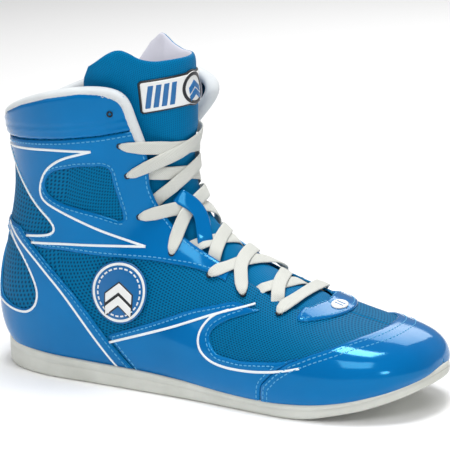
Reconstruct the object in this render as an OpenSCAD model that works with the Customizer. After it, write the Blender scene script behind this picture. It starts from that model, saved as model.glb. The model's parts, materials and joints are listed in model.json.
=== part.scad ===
/* [Sole] */
// Thickness of the flat rubber tread plate
tread_t = 2; // [1.6:0.1:2.4]
// Depth of the grooves in the tread
groove_d = 0.8; // [0.4:0.1:1.2]
// Radius of the pivot ring under the ball of the foot
pivot_r = 15; // [10:1:20]
// Thickness of the lasting board
board_t = 1.4; // [1:0.1:1.8]
// Thickness of the removable sock liner
liner_t = 3; // [2:0.5:4]

/* [Upper] */
// Thickness of the mesh base layer
mesh_t = 1.2; // [0.8:0.1:1.4]
// Thickness of the glossy overlays
overlay_t = 1; // [0.6:0.1:1.2]
// Gap between two layers of the upper
layer_gap = 0.3; // [0.2:0.05:0.4]
// Thickness of the stiffeners and of the padding in the ankle wall
pad_t = 1.7; // [1:0.1:2]
// Thickness of the lining
lining_t = 1; // [0.6:0.1:1.2]
// Width of the rolled binding beyond the collar's edge
binding_w = 2.6; // [2:0.1:3]

/* [Closure] */
// Outer radius of an eyelet
eyelet_r = 2.4; // [2.3:0.1:3]
// Radius of the hole through an eyelet
eyelet_hole_r = 1.2; // [1:0.1:1.4]
// Width of the flat lace
lace_w = 7.5; // [6:0.5:8]
// Thickness of the flat lace
lace_t = 1.1; // [0.9:0.1:1.2]
// Thickness of the padded tongue
tongue_t = 3.5; // [2.5:0.5:4]
// How far the tongue's wings are drawn in from the collar
wing_tuck = 5; // [4:0.5:7]
// Radius of the round badge on each side
badge_r = 18; // [15:1:19]

/* [Hidden] */

LATERAL = -1;
MEDIAL = 1;
// The middle of the boot's length and width, measured from the back of the heel
MIDDLE = [140.64, -3.61, 0];

// Heights of the layers above the outer face of the mesh
overlay_low = layer_gap;
overlay_high = overlay_low + overlay_t;
badge_low = overlay_high + layer_gap;
badge_high = badge_low + 0.8;
pad_high = -mesh_t - layer_gap;
pad_low = pad_high - pad_t;
lining_high = pad_low - layer_gap;
lining_low = lining_high - lining_t;
tongue_high = lining_low - 0.5;
tongue_low = tongue_high - tongue_t;

// The foot's sections in order from the toe tip, over the instep and up the shaft. Each is
// [ridge x, ridge z, base x, base z, lateral half width, medial half width,
//  place of the widest point, lateral base half width, medial base half width, roundness]
SECTIONS = [
    [281.5, 27, 281.5, 26, 0, 0, 0.60, 0, 0, 2.3],
    [277, 37.5, 280.5, 23, 22, 17, 0.60, 6, 5, 2.4],
    [261.5, 43, 270.5, 19, 36, 29, 0.62, 25, 21, 2.4],
    [243, 46, 251, 12, 47, 38.5, 0.66, 39, 34, 2.5],
    [220, 51, 225, 6, 52, 44, 0.70, 46, 40, 2.5],
    [199, 58.5, 192, 5, 51, 44.5, 0.72, 46, 40, 2.4],
    [179, 67.5, 156, 6, 46, 42, 0.72, 39, 36, 2.1],
    [162, 76.5, 116, 8, 41, 40, 0.70, 33, 30, 2],
    [148, 86.5, 77, 9, 38, 38, 0.66, 31, 29, 2],
    [137.5, 96.5, 38, 10, 37, 37, 0.62, 31, 30, 2],
    [131, 108.5, 9, 15, 37, 37, 0.58, 22, 22, 2],
    [128, 120.5, -4, 40, 37, 37, 0.55, 6, 6, 2],
    [127, 134, 2, 74, 37, 37, 0.52, 0, 0, 2],
    [127.5, 148, 11, 104, 39, 39, 0.50, 0, 0, 2],
    [128, 163, 11.5, 134, 42, 42, 0.50, 0, 0, 2],
    [128, 180, 8, 164, 44, 44, 0.50, 0, 0, 2],
    [124, 200, 6, 194, 45, 45, 0.50, 0, 0, 2]];
LAST = len(SECTIONS) - 1;

function beyond_tip(r) = [r[2], r[3], r[0], r[1], -r[4], -r[5], r[6], -r[7], -r[8], r[9]];
function section(i) =
    i < 0 ? beyond_tip(SECTIONS[1])
    : i > LAST ? 2 * SECTIONS[LAST] - SECTIONS[LAST - 1]
    : SECTIONS[i];

// A smooth cubic blend of the four nearest sections
function blended(t) =
    let (i = max(0, min(LAST - 1, floor(t))), f = t - i)
    (pow(1 - f, 3) * section(i - 1)
    + (3 * pow(f, 3) - 6 * f * f + 4) * section(i)
    + (-3 * pow(f, 3) + 3 * f * f + 3 * f + 1) * section(i + 1)
    + pow(f, 3) * section(i + 2)) / 6;

// The outer skin. t runs along the sections, and s runs from -1 at the lateral base
// edge through 0 on the ridge to 1 at the medial base edge.
function skin(t, s) =
    let (
        r = blended(t),
        a = abs(s),
        half = s < 0 ? r[4] : r[5],
        base = s < 0 ? r[7] : r[8],
        upper = 180 * min(a, 0.5),
        lower = 180 * max(a - 0.5, 0),
        fall = a < 0.5 ? r[6] * (1 - pow(max(cos(upper), 0), 2 / r[9])) : r[6] + (1 - r[6]) * sin(lower),
        out = a < 0.5 ? half * pow(sin(upper), 2 / r[9]) : base + (half - base) * cos(lower)
    )
    [r[0] + (r[2] - r[0]) * fall, sign(s) * out, r[1] + (r[3] - r[1]) * fall];

function unit(v) = v / norm(v);
function outward(t, s) =
    let (d = 0.02, u = max(t, 0.03))
    unit(cross(skin(u, s + d) - skin(u, s - d), skin(min(u + d, LAST), s) - skin(u - d, s)));
function lifted(p, h) = skin(p[0], p[1]) + h * outward(p[0], p[1]);

// Half width of the throat opening, as a share of the way round from the ridge
THROAT_END = 4.4;
THROAT = [[THROAT_END, 0], [4.5, 0.075], [4.8, 0.125], [5.5, 0.13], [7, 0.137], [8.5, 0.162],
    [10, 0.182], [11.5, 0.217], [12.5, 0.226], [13.3, 0.25], [14, 0.272], [14.7, 0.286], [16, 0.3]];
function throat(t) = t < THROAT_END ? 0 : lookup(t, THROAT);

TOE_ROWS = [0.12, 0.4, 0.8, 1.2, 1.6, 2, 2.4, 2.9, 3.4, 3.9, THROAT_END];
SIDE_ROWS = [THROAT_END, 4.5, 4.8, 5.3, 5.9, 6.5, 7.1, 7.7, 8.3, 8.9, 9.5, 10, 10.5, 11, 11.5, 12,
    12.6, 13.2, 13.8, 14.4, 15, 15.4];
ALL_ROWS = concat(TOE_ROWS, [for (i = [1:len(SIDE_ROWS) - 1]) SIDE_ROWS[i]]);
COLUMNS = 12;
INNER_COLUMNS = 8;
// The section where the vamp meets the quarters
VAMP_END = 5.9;

// Places on one side, from the throat's edge or the ridge down to the base edge
function side_places(side, rows, setback = 0, columns = COLUMNS) =
    [for (t = rows) [for (j = [0:columns])
        let (edge = throat(t) + setback, f = j / columns)
        [t, side < 0 ? -1 + f * (1 - edge) : edge + f * (1 - edge)]]];

// A closed shell over a grid of places, between two heights above the skin. tuck draws
// its edges inwards, by that much at a wing's full width.
WING = 0.37;
module shell(places, low, high, tuck = 0) {
    rows = len(places);
    columns = len(places[0]);
    tip = places[0][0][0] < 0.2;
    flat = concat([for (line = places) for (p = line) p], tip ? [[0, 0]] : []);
    count = len(flat);
    pole = count - 1;
    function at(i, j) = i * columns + j;
    rim = concat(
        tip ? [pole] : [for (j = [0:columns - 2]) at(0, j)],
        [for (i = [0:rows - 1]) at(i, columns - 1)],
        [for (j = [columns - 2:-1:0]) at(rows - 1, j)],
        [for (i = [rows - 2:-1:tip ? 0 : 1]) at(i, 0)]);
    skin_faces = concat(
        [for (i = [0:rows - 2]) for (j = [0:columns - 2]) each [
            [at(i, j), at(i + 1, j + 1), at(i, j + 1)],
            [at(i, j), at(i + 1, j), at(i + 1, j + 1)]]],
        tip ? [for (j = [0:columns - 2]) [pole, at(0, j), at(0, j + 1)]] : []);
    inner_faces = [for (f = skin_faces) [f[2] + count, f[1] + count, f[0] + count]];
    rim_faces = [for (k = [0:len(rim) - 1])
        let (a = rim[k], b = rim[(k + 1) % len(rim)])
        each [[a, b, b + count], [a, b + count, a + count]]];
    function drawn(p) = tuck * pow(p[1] / WING, 2);
    polyhedron(
        concat([for (p = flat) lifted(p, high - drawn(p))], [for (p = flat) lifted(p, low - drawn(p))]),
        concat(skin_faces, inner_faces, rim_faces), convexity = 8);
}

module side_shell(side, low, high, rows = ALL_ROWS, setback = 0, columns = COLUMNS) {
    shell(side_places(side, rows, setback, columns), low, high);
}

module both_sides(low, high, rows = ALL_ROWS, setback = 0, columns = COLUMNS) {
    for (side = [LATERAL, MEDIAL]) side_shell(side, low, high, rows, setback, columns);
}

// Outlines are drawn in side view, as [distance from the heel, height]
module across() {
    rotate([90, 0, 0]) linear_extrude(240, center = true) children();
}

// A cut shell is kept as one faceted mesh, set in the boot's own frame
module piece() {
    translate(-MIDDLE) minkowski() children();
}

module rounded(r) {
    offset(r) offset(delta = -r, chamfer = true) children();
}

$fn = 24;

// Collar: the line from the back, up over the ankle and down the front edge
COLLAR = [[-30, 60], [-30, 144], [0, 145], [10, 150], [22, 158], [39, 165], [60, 171], [80, 174.5],
    [96, 174.5], [104, 172], [107.5, 167], [110, 158], [114, 146], [150, 130], [150, 60]];
FLEX_LINE = [[-30, 139], [25, 142], [66, 146], [90, 149], [112, 153], [160, 162]];
STRAP_FRONT = [[-30, 91], [14, 90], [27, 89], [45, 74], [66, 53.5], [87, 30], [104, 13], [110, 4]];
BAR_BASE = [[34, 85], [41, 78.5], [59, 79], [85, 77], [115, 76], [140, 73], [158, 68], [170, 60]];
SADDLE_TOP = [[88, 31], [119, 42], [145, 52], [170, 58], [180, 55]];
TOE_SEAM = [[191, -5], [195, 18], [203, 26], [212, 32], [224, 37], [244, 43.5], [262, 47], [276, 50]];
ANKLE_WINDOW = [[50, 119], [57, 126], [75, 130], [93, 131], [94, 119], [99, 97], [84, 102],
    [61, 107], [51, 112]];
REAR_WINDOW = [[5, 135], [18, 134], [28, 120], [42, 104], [54, 94], [53, 88], [33, 86], [6, 92]];
HEEL_WINDOW = [[3, 84], [17, 82], [32, 69], [40, 53], [38, 44], [31, 39], [20, 39], [4, 44]];
VAMP_WINDOW = [[158, 38], [160, 44], [168, 49], [183, 54], [203, 57], [216, 54], [226, 57],
    [276, 70], [276, 50], [262, 47], [244, 43.5], [224, 37], [207, 32], [181, 29], [164, 30]];

module under(line) {
    polygon(concat(line, [[line[len(line) - 1][0], -60], [line[0][0], -60]]));
}

module over(line) {
    polygon(concat(line, [[line[len(line) - 1][0], 260], [line[0][0], 260]]));
}

module collar_area(grow = 0) {
    offset(grow) polygon(COLLAR);
}

module below_collar(grow = 0) {
    across() union() {
        collar_area(grow);
        translate([-40, -20]) square([360, 90]);
        translate([90, 20]) square([70, 115]);
    }
}

// Eyelets, as places down each side from the collar
EYELETS = [[14.32, 0.343], [13.28, 0.323], [12.19, 0.295], [10.58, 0.26], [8.7, 0.234],
    [7.31, 0.21], [6.18, 0.2], [5.07, 0.193]];

module at_place(t, s) {
    n = outward(t, s);
    translate(skin(t, s)) rotate([0, acos(n[2]), atan2(n[1], n[0])]) children();
}

// The eyelet's shank passes through wider holes in the layers, and its flange covers them
shank_r = eyelet_r - 0.7;
module eyelet_holes(side) {
    for (e = EYELETS) at_place(e[0], side * e[1]) cylinder(h = 8, r = shank_r + 0.3, center = true, $fn = 8);
}

// Sole

// Half widths of the sole, as [distance, lateral, medial]
SOLE_WIDTHS = [[0, 0, 0], [0.5, 7, 7], [2.5, 13, 13], [6.5, 20, 20], [12, 25.5, 25.5],
    [20, 30, 30], [32, 34.5, 34], [48, 37.5, 36.5], [80, 39, 36], [116, 41.5, 38], [150, 44.5, 41],
    [185, 49.5, 44], [212, 52.5, 45], [235, 50, 42.5], [252, 44, 37.5], [264, 36, 30],
    [273, 28, 23], [279.5, 19, 16], [283, 11, 10], [284.5, 0, 0]];
SOLE_BOTTOM = [[-10, 10], [0, 6], [7, 3.2], [14, 2], [215, 2], [235, 4.6], [255, 8.6], [270, 13],
    [281, 17], [295, 23]];
SOLE_TOP = [[295, 29], [283, 26], [273, 22.5], [261, 17.8], [246, 12.8], [225, 9.6], [205, 8.2],
    [185, 8.2], [165, 9], [140, 11], [116, 12], [81, 12.6], [45, 13.6], [25, 15.5], [10, 18.4], [-10, 21]];

module sole_plan(inset = 0) {
    offset(delta = -inset) polygon(concat(
        [for (w = SOLE_WIDTHS) [w[0], -w[1]]],
        [for (i = [len(SOLE_WIDTHS) - 1:-1:0]) [SOLE_WIDTHS[i][0], SOLE_WIDTHS[i][2]]]));
}

// The solid foot form, grown by h
module foot_form(h) {
    rows = [for (t = TOE_ROWS) if (t < 4) t];
    more = [for (t = SIDE_ROWS) if (t < 12) t];
    ts = concat(rows, more);
    around = 2 * COLUMNS;
    points = concat(
        [for (t = ts) for (j = [0:around]) lifted([t, -1 + 2 * j / around], h)],
        [lifted([0, 0], h), (skin(ts[len(ts) - 1], 0) + skin(ts[len(ts) - 1], 1)) / 2]);
    ring = around + 1;
    function at(i, j) = i * ring + j % ring;
    end = len(ts) - 1;
    tip = len(ts) * ring;
    polyhedron(points, concat(
        [for (i = [0:end - 1]) for (j = [0:around]) each [
            [at(i, j), at(i + 1, j + 1), at(i, j + 1)],
            [at(i, j), at(i + 1, j), at(i + 1, j + 1)]]],
        [for (j = [0:around]) [tip, at(0, j), at(0, j + 1)]],
        [for (j = [0:around]) [tip + 1, at(end, j + 1), at(end, j)]]), convexity = 6);
}

module sole_pocket(clear, low) {
    translate([0, 0, low]) linear_extrude(20) intersection() {
        sole_plan(9 + clear);
        translate([12 + clear, -60]) square([150 - 2 * clear, 120]);
    }
}

module tread_plate() {
    from_heel = 15;
    to_ball = 213;
    ball = [186, 0];
    color("whitesmoke") translate(-MIDDLE) difference() {
        linear_extrude(tread_t) intersection() {
            sole_plan(3);
            translate([from_heel, -60]) square([to_ball - from_heel, 120]);
        }
        for (x = [from_heel + 9:9:to_ball - 9]) {
            near = abs(x - ball[0]) < pivot_r + 6;
            if (!near) translate([x, 0, 0]) cube([1.4, 56, 2 * groove_d], center = true);
        }
        translate(ball) difference() {
            cylinder(h = groove_d, r = pivot_r + 1.5);
            cylinder(h = groove_d, r = pivot_r);
        }
        translate(ball) cylinder(h = groove_d, r = 5);
    }
}

module outsole() {
    color("whitesmoke") piece() difference() {
        intersection() {
            linear_extrude(60) sole_plan();
            across() polygon(concat(SOLE_BOTTOM, SOLE_TOP));
        }
        foot_form(overlay_high + 0.35);
        sole_pocket(0, 3.4);
    }
}

module midsole() {
    color("gainsboro") piece() difference() {
        sole_pocket(0.25, 3.6);
        foot_form(overlay_high + 0.45);
    }
}

// A layer across the base, between its two edges, lifted by low to high. It is lifted
// straight up, or square to the skin when square is set.
module floor_layer(low, high, grow, rows, square = false) {
    points = [for (h = [low, high]) for (t = rows) for (side = [LATERAL, MEDIAL])
        skin(t, side) + [0, side * grow, 0] + h * (square ? outward(t, side) : [0, 0, 1])];
    count = len(rows);
    function at(k, i, j) = (k * count + i) * 2 + j;
    polyhedron(points, concat(
        [for (i = [0:count - 2]) each [
            [at(0, i, 0), at(0, i, 1), at(0, i + 1, 1), at(0, i + 1, 0)],
            [at(1, i, 0), at(1, i + 1, 0), at(1, i + 1, 1), at(1, i, 1)],
            [at(0, i, 0), at(0, i + 1, 0), at(1, i + 1, 0)],
            [at(0, i, 0), at(1, i + 1, 0), at(1, i, 0)],
            [at(0, i, 1), at(1, i, 1), at(1, i + 1, 1)],
            [at(0, i, 1), at(1, i + 1, 1), at(0, i + 1, 1)]]],
        [[at(0, 0, 0), at(1, 0, 0), at(1, 0, 1), at(0, 0, 1)],
            [at(0, count - 1, 0), at(0, count - 1, 1), at(1, count - 1, 1), at(1, count - 1, 0)]]));
}

FLOOR_ROWS = [1.4, 1.8, 2.4, 3, 3.6, 4.2, 4.8, 5.4, 6, 7, 8, 8.8, 9.4, 9.8];

module insole_board() {
    color("tan") piece() floor_layer(-0.4, board_t - 0.4, -0.8, FLOOR_ROWS);
}

module sock_liner() {
    above = -lining_low + 0.6;
    color("lightgray") piece() floor_layer(above, above + liner_t, -3, [for (t = FLOOR_ROWS) if (t > 2) t]);
}

// Upper

module vamp_mesh() {
    rows = [for (t = ALL_ROWS) if (t <= VAMP_END) t];
    color("teal") piece() difference() {
        both_sides(-mesh_t, 0, rows);
        for (side = [LATERAL, MEDIAL]) eyelet_holes(side);
    }
}

module quarter(side) {
    rows = [for (t = ALL_ROWS) if (t >= VAMP_END) t];
    color("teal") piece() difference() {
        intersection() {
            side_shell(side, -mesh_t, 0, rows);
            below_collar();
        }
        eyelet_holes(side);
    }
}

module lateral_quarter() { quarter(LATERAL); }
module medial_quarter() { quarter(MEDIAL); }

module overlay(side) {
    side_shell(side, overlay_low, overlay_high);
}

// Ends of the eyestay at the throat, seen from above
module ahead_of(x) {
    translate([x, -80, -10]) cube([200, 160, 260]);
}

EYESTAY_FRONT = 206;

module eyestay(side) {
    color("dodgerblue") piece() difference() {
        overlay(side);
        across() over([for (p = FLEX_LINE) p - [0, 1.2]]);
        across() offset(0.5) under(STRAP_FRONT);
        across() rounded(2) polygon(concat(BAR_BASE, [[177, 57], [184, 55.3], [210, 60.3], [240, 40],
            [240, -40], [70, -40], [60, 40]]));
        across() rounded(2) polygon(ANKLE_WINDOW);
        across() rounded(2) polygon(REAR_WINDOW);
        ahead_of(EYESTAY_FRONT);
        eyelet_holes(side);
    }
}

module lateral_eyestay() { eyestay(LATERAL); }
module medial_eyestay() { eyestay(MEDIAL); }

module collar_panel(side) {
    color("dodgerblue") piece() difference() {
        intersection() {
            overlay(side);
            below_collar();
            across() over(FLEX_LINE);
        }
        eyelet_holes(side);
    }
}

module lateral_collar_panel() { collar_panel(LATERAL); }
module medial_collar_panel() { collar_panel(MEDIAL); }

module heel_panel(side) {
    color("dodgerblue") piece() difference() {
        intersection() {
            overlay(side);
            across() under([for (p = STRAP_FRONT) p - [0, 0.6]]);
        }
        across() rounded(3) polygon(HEEL_WINDOW);
    }
}

module lateral_heel_panel() { heel_panel(LATERAL); }
module medial_heel_panel() { heel_panel(MEDIAL); }

module side_panel(side) {
    color("dodgerblue") piece() difference() {
        intersection() {
            overlay(side);
            across() polygon(concat([[111, -20], [105, 13.5]], SADDLE_TOP,
                [for (i = [7:-1:0]) TOE_SEAM[i] - [0.8, 0]], [[191, -20]]));
        }
        across() offset(0.5) under(STRAP_FRONT);
        across() rounded(3) polygon(VAMP_WINDOW);
        ahead_of(225);
    }
}

module lateral_side_panel() { side_panel(LATERAL); }
module medial_side_panel() { side_panel(MEDIAL); }

module toe_cap() {
    color("dodgerblue") piece() intersection() {
        both_sides(overlay_low, overlay_high);
        across() under(TOE_SEAM);
        across() polygon(concat(TOE_SEAM, [[320, 60], [320, -30], [191, -30]]));
    }
}

module throat_patch() {
    nose = [[EYESTAY_FRONT + 0.6, -32], [215, -27], [223, -17], [227, -7], [227, 7], [223, 17],
        [215, 27], [EYESTAY_FRONT + 0.6, 32]];
    color("dodgerblue") piece() intersection() {
        both_sides(overlay_low, overlay_high);
        translate([0, 0, 30]) linear_extrude(60) polygon(nose);
    }
}

module medallion() {
    color("white") piece() intersection() {
        both_sides(badge_low, badge_high, [for (t = TOE_ROWS) if (t > 3) t]);
        translate([219, 0, 30]) linear_extrude(60) scale([1, 1.7]) circle(4);
    }
}

module badge(side) {
    color("white") piece() intersection() {
        side_shell(side, badge_low, badge_high, [for (t = SIDE_ROWS) if (t > 7) t]);
        across() translate([97, 57]) circle(badge_r, $fn = 36);
    }
}

module lateral_badge() { badge(LATERAL); }
module medial_badge() { badge(MEDIAL); }

// The strip up the back, which widens into a tab over the heel, and the wall inside it
// that closes the wedge between the two sides
module back_stay() {
    wedge = [10, 10.5, 11, 11.5, 12];
    tab = [10.5, 11, 11.5, 12];
    color("dodgerblue") piece() union() {
        intersection() {
            both_sides(badge_low, badge_high, [for (t = SIDE_ROWS) if (t > 9) t]);
            translate([-20, -6, 28]) cube([50, 12, 100]);
        }
        floor_layer(overlay_high, lining_low, -layer_gap, wedge, true);
        floor_layer(badge_high, overlay_high - 0.1, -layer_gap, tab, true);
        floor_layer(badge_high, badge_low, 1.2, tab, true);
    }
}

module toe_puff() {
    color("gray") piece() both_sides(pad_low, pad_high, [for (t = TOE_ROWS) if (t < 2.5) t], 0, INNER_COLUMNS);
}

// The stiffener stands clear of the lining, whose facets turn at other places
module heel_counter() {
    slack = 0.4;
    color("gray") piece() intersection() {
        both_sides(pad_low + slack, pad_high - 0.1, [for (t = SIDE_ROWS) if (t > 7) t], 0.1, INNER_COLUMNS);
        across() polygon([[-30, 66], [10, 64], [50, 46], [72, 20], [76, -10], [-30, -10]]);
    }
}

module collar_padding() {
    color("white") piece() intersection() {
        both_sides(pad_low, pad_high, [for (t = SIDE_ROWS) if (t > 12.2) t], 0.12, INNER_COLUMNS);
        below_collar(-0.6);
        across() over([[-30, 112], [60, 118], [160, 136]]);
    }
}

module collar_binding() {
    color("white") piece() difference() {
        intersection() {
            both_sides(lining_low, overlay_high, [12.9, 13.5, 14, 14.5, 15, 15.4], -0.02);
            below_collar(binding_w);
            across() translate([-30, 141]) square([200, 60]);
        }
        below_collar(0.25);
        both_sides(lining_low - 1, overlay_high + 1, [12.5, 13, 13.5, 14, 14.5], -0.004);
    }
}

module lining() {
    color("white") piece() union() {
        both_sides(lining_low, lining_high, [for (t = TOE_ROWS) if (t > 0.7) t], 0, INNER_COLUMNS);
        intersection() {
            both_sides(lining_low, lining_high, [for (t = SIDE_ROWS) if (t > 4.7) t], 0.1, INNER_COLUMNS);
            below_collar(-0.4);
        }
    }
}

// Tongue

TONGUE_FOLD = 13.15;
TONGUE_WIDTH = [[4.9, 0.13], [5.5, 0.2], [7, 0.24], [10, 0.25], [13.1, 0.25]];
// Half width against the share of the way up from the fold
TOP_WIDTH = [[0, 0.25], [0.3, 0.29], [0.62, 0.37], [0.8, 0.36], [1, 0.32]];
// Height of the top edge against the share of the half width
TOP_EDGE = [[0, 15.55], [0.5, 15.6], [0.75, 15.9], [0.88, 16], [1, 15.8]];

module tongue_lower() {
    rows = [4.9, 5.5, 6.2, 7, 8, 9, 10, 11, 12, TONGUE_FOLD - 0.05];
    color("steelblue") piece() shell([for (t = rows) [for (j = [-6:6])
        [t, j / 6 * lookup(t, TONGUE_WIDTH)]]], tongue_low, tongue_high, wing_tuck);
}

function tongue_top_place(up, out) =
    [TONGUE_FOLD + up * (lookup(abs(out), TOP_EDGE) - TONGUE_FOLD), out * lookup(up, TOP_WIDTH)];

module tongue_top() {
    color("steelblue") piece() shell([for (i = [0:8]) [for (j = [-8:8])
        tongue_top_place(i / 8, j / 8)]], tongue_low, tongue_high, wing_tuck);
}

module tongue_label() {
    color("white") piece() shell([for (i = [0:3]) [for (j = [-5:5])
        [13.95 + i * 0.35, j / 5 * 0.235]]], tongue_high + layer_gap, tongue_high + layer_gap + 1.2,
        wing_tuck);
}

module lace_keeper() {
    color("dodgerblue") piece() shell([for (t = [8.3, 8.7, 9.1, 9.5, 9.9, 10.4]) [for (j = [0:3])
        [t, -0.07 + j / 3 * 0.08]]], lace_top + layer_gap, lace_top + layer_gap + 0.9);
}

// Lace

over_low = overlay_high + 1.1;
lace_top = over_low + 3.1;

module eyelets(side) {
    color("black") translate(-MIDDLE) for (e = EYELETS) at_place(e[0], side * e[1]) difference() {
        union() {
            translate([0, 0, overlay_high + 0.1]) cylinder(h = 0.6, r = eyelet_r);
            translate([0, 0, -mesh_t]) cylinder(h = mesh_t + overlay_high + 0.2, r = shank_r);
        }
        translate([0, 0, -5]) cylinder(h = 10, r = eyelet_hole_r);
    }
}

module lateral_eyelets() { eyelets(LATERAL); }
module medial_eyelets() { eyelets(MEDIAL); }

over_mid = over_low + lace_t / 2;
// The lace is squeezed to fit through the eyelets
lace_end_r = eyelet_hole_r - 0.2;
under_mid = -mesh_t - 0.6 - lace_t / 2;

// Height of the middle of a strand against its way across, from -1 to 1. A strand runs over
// or under both eyestays, and the upper of two strands rises where they cross.
function strand_height(x, over, on_top) =
    let (side = over ? over_mid : under_mid, rise = on_top ? lace_t + 0.7 : 0)
    lookup(abs(x), [[0.36, side + rise], [0.62, side]]);

module strand(from, to, over, on_top) {
    steps = 10;
    function place(x) = let (f = (x + 1) / 2) from + f * (to - from);
    function centre(x) = lifted(place(x), strand_height(x, over, on_top));
    xs = [for (i = [0:steps]) -1 + 2 * i / steps];
    points = [for (x = xs) let (
            p = place(x),
            n0 = outward(p[0], p[1]),
            along = unit(centre(min(x + 0.05, 1)) - centre(max(x - 0.05, -1))),
            wide = unit(cross(n0, along)),
            n = cross(along, wide),
            half = lookup(abs(x), [[0.8, lace_w / 2], [1, lace_end_r]]))
        for (c = [[-1, -1], [1, -1], [1, 1], [-1, 1]])
            centre(x) + wide * c[0] * half + n * c[1] * lace_t / 2];
    polyhedron(points, concat(
        [[0, 1, 2, 3], [for (k = [3:-1:0]) steps * 4 + k]],
        [for (i = [0:steps - 1]) for (k = [0:3]) let (m = (k + 1) % 4) each [
            [4 * i + k, 4 * i + 4 + k, 4 * i + 4 + m],
            [4 * i + k, 4 * i + 4 + m, 4 * i + m]]]), convexity = 4);
}

module lace() {
    last = len(EYELETS) - 1;
    function hole(k, side) = [EYELETS[k][0], side * EYELETS[k][1]];
    color("ivory") piece() union() {
        strand(hole(last, LATERAL), hole(last, MEDIAL), true, false);
        for (k = [2:last]) for (side = [LATERAL, MEDIAL])
            strand(hole(k, side), hole(k - 1, -side), k % 2 == 0, side == LATERAL);
        for (k = [1:last]) for (side = [LATERAL, MEDIAL])
            at_place(EYELETS[k][0], side * EYELETS[k][1])
                translate([0, 0, under_mid]) cylinder(h = over_mid - under_mid, r = lace_end_r, $fn = 6);
    }
}

tread_plate();
outsole();
midsole();
insole_board();
sock_liner();
vamp_mesh();
lateral_quarter();
medial_quarter();
lateral_eyestay();
medial_eyestay();
lateral_collar_panel();
medial_collar_panel();
lateral_heel_panel();
medial_heel_panel();
lateral_side_panel();
medial_side_panel();
toe_cap();
throat_patch();
medallion();
lateral_badge();
medial_badge();
back_stay();
toe_puff();
heel_counter();
collar_padding();
collar_binding();
lining();
tongue_lower();
tongue_top();
tongue_label();
lace_keeper();
lateral_eyelets();
medial_eyelets();
lace();
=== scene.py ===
"""The look of a high-top boxing boot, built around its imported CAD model."""

import json
import math

import bpy
import numpy as np
from mathutils import Matrix, Vector

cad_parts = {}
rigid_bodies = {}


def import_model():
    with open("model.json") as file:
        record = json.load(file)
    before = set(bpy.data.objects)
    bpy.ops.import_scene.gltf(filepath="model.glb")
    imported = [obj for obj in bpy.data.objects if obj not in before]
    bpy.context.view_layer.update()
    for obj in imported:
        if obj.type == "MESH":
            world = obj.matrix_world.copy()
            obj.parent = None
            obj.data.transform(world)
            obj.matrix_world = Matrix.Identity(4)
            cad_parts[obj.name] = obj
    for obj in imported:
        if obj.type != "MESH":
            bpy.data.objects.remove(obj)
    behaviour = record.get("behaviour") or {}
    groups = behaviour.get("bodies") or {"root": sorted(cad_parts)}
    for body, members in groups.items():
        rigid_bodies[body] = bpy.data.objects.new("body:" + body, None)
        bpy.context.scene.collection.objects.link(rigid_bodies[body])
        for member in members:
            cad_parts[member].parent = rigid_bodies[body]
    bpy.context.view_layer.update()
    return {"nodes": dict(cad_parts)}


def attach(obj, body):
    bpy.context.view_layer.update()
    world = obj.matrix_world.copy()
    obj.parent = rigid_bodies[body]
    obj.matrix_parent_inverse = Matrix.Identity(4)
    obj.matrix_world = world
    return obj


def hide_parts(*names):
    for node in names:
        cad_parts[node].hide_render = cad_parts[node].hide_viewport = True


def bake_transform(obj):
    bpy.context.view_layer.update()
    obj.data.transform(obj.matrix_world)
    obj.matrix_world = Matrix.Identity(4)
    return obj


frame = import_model()

MM = 0.001
LATERAL = -1
MEDIAL = 1
SIDES = {"lateral": LATERAL, "medial": MEDIAL}
# The frame's origin, in millimetres from the back of the heel
MIDDLE = np.array([140.64, -3.61, 0.0])

# ---------------------------------------------------------------- the boot's skin

# The same sections as the CAD: ridge x, ridge z, base x, base z, lateral half width,
# medial half width, place of the widest point, lateral base, medial base, roundness
SECTIONS = np.array([
    [281.5, 27, 281.5, 26, 0, 0, 0.60, 0, 0, 2.3],
    [277, 37.5, 280.5, 23, 22, 17, 0.60, 6, 5, 2.4],
    [261.5, 43, 270.5, 19, 36, 29, 0.62, 25, 21, 2.4],
    [243, 46, 251, 12, 47, 38.5, 0.66, 39, 34, 2.5],
    [220, 51, 225, 6, 52, 44, 0.70, 46, 40, 2.5],
    [199, 58.5, 192, 5, 51, 44.5, 0.72, 46, 40, 2.4],
    [179, 67.5, 156, 6, 46, 42, 0.72, 39, 36, 2.1],
    [162, 76.5, 116, 8, 41, 40, 0.70, 33, 30, 2],
    [148, 86.5, 77, 9, 38, 38, 0.66, 31, 29, 2],
    [137.5, 96.5, 38, 10, 37, 37, 0.62, 31, 30, 2],
    [131, 108.5, 9, 15, 37, 37, 0.58, 22, 22, 2],
    [128, 120.5, -4, 40, 37, 37, 0.55, 6, 6, 2],
    [127, 134, 2, 74, 37, 37, 0.52, 0, 0, 2],
    [127.5, 148, 11, 104, 39, 39, 0.50, 0, 0, 2],
    [128, 163, 11.5, 134, 42, 42, 0.50, 0, 0, 2],
    [128, 180, 8, 164, 44, 44, 0.50, 0, 0, 2],
    [124, 200, 6, 194, 45, 45, 0.50, 0, 0, 2],
], float)
LAST = len(SECTIONS) - 1


def beyond_tip(row):
    """The section past the toe tip that makes the tip smooth."""
    signs = np.array([1, 1, 1, 1, -1, -1, 1, -1, -1, 1])
    return row[[2, 3, 0, 1, 4, 5, 6, 7, 8, 9]] * signs


PADDED = np.vstack([beyond_tip(SECTIONS[1]), SECTIONS, 2 * SECTIONS[-1] - SECTIONS[-2]])


def blended(t):
    """A smooth cubic blend of the four sections nearest t."""
    i = np.clip(np.floor(t).astype(int), 0, LAST - 1)
    f = t - i
    weights = [(1 - f) ** 3, 3 * f**3 - 6 * f**2 + 4, -3 * f**3 + 3 * f**2 + 3 * f + 1, f**3]
    return sum(w[..., None] * PADDED[i + k] for k, w in enumerate(weights)) / 6


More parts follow.
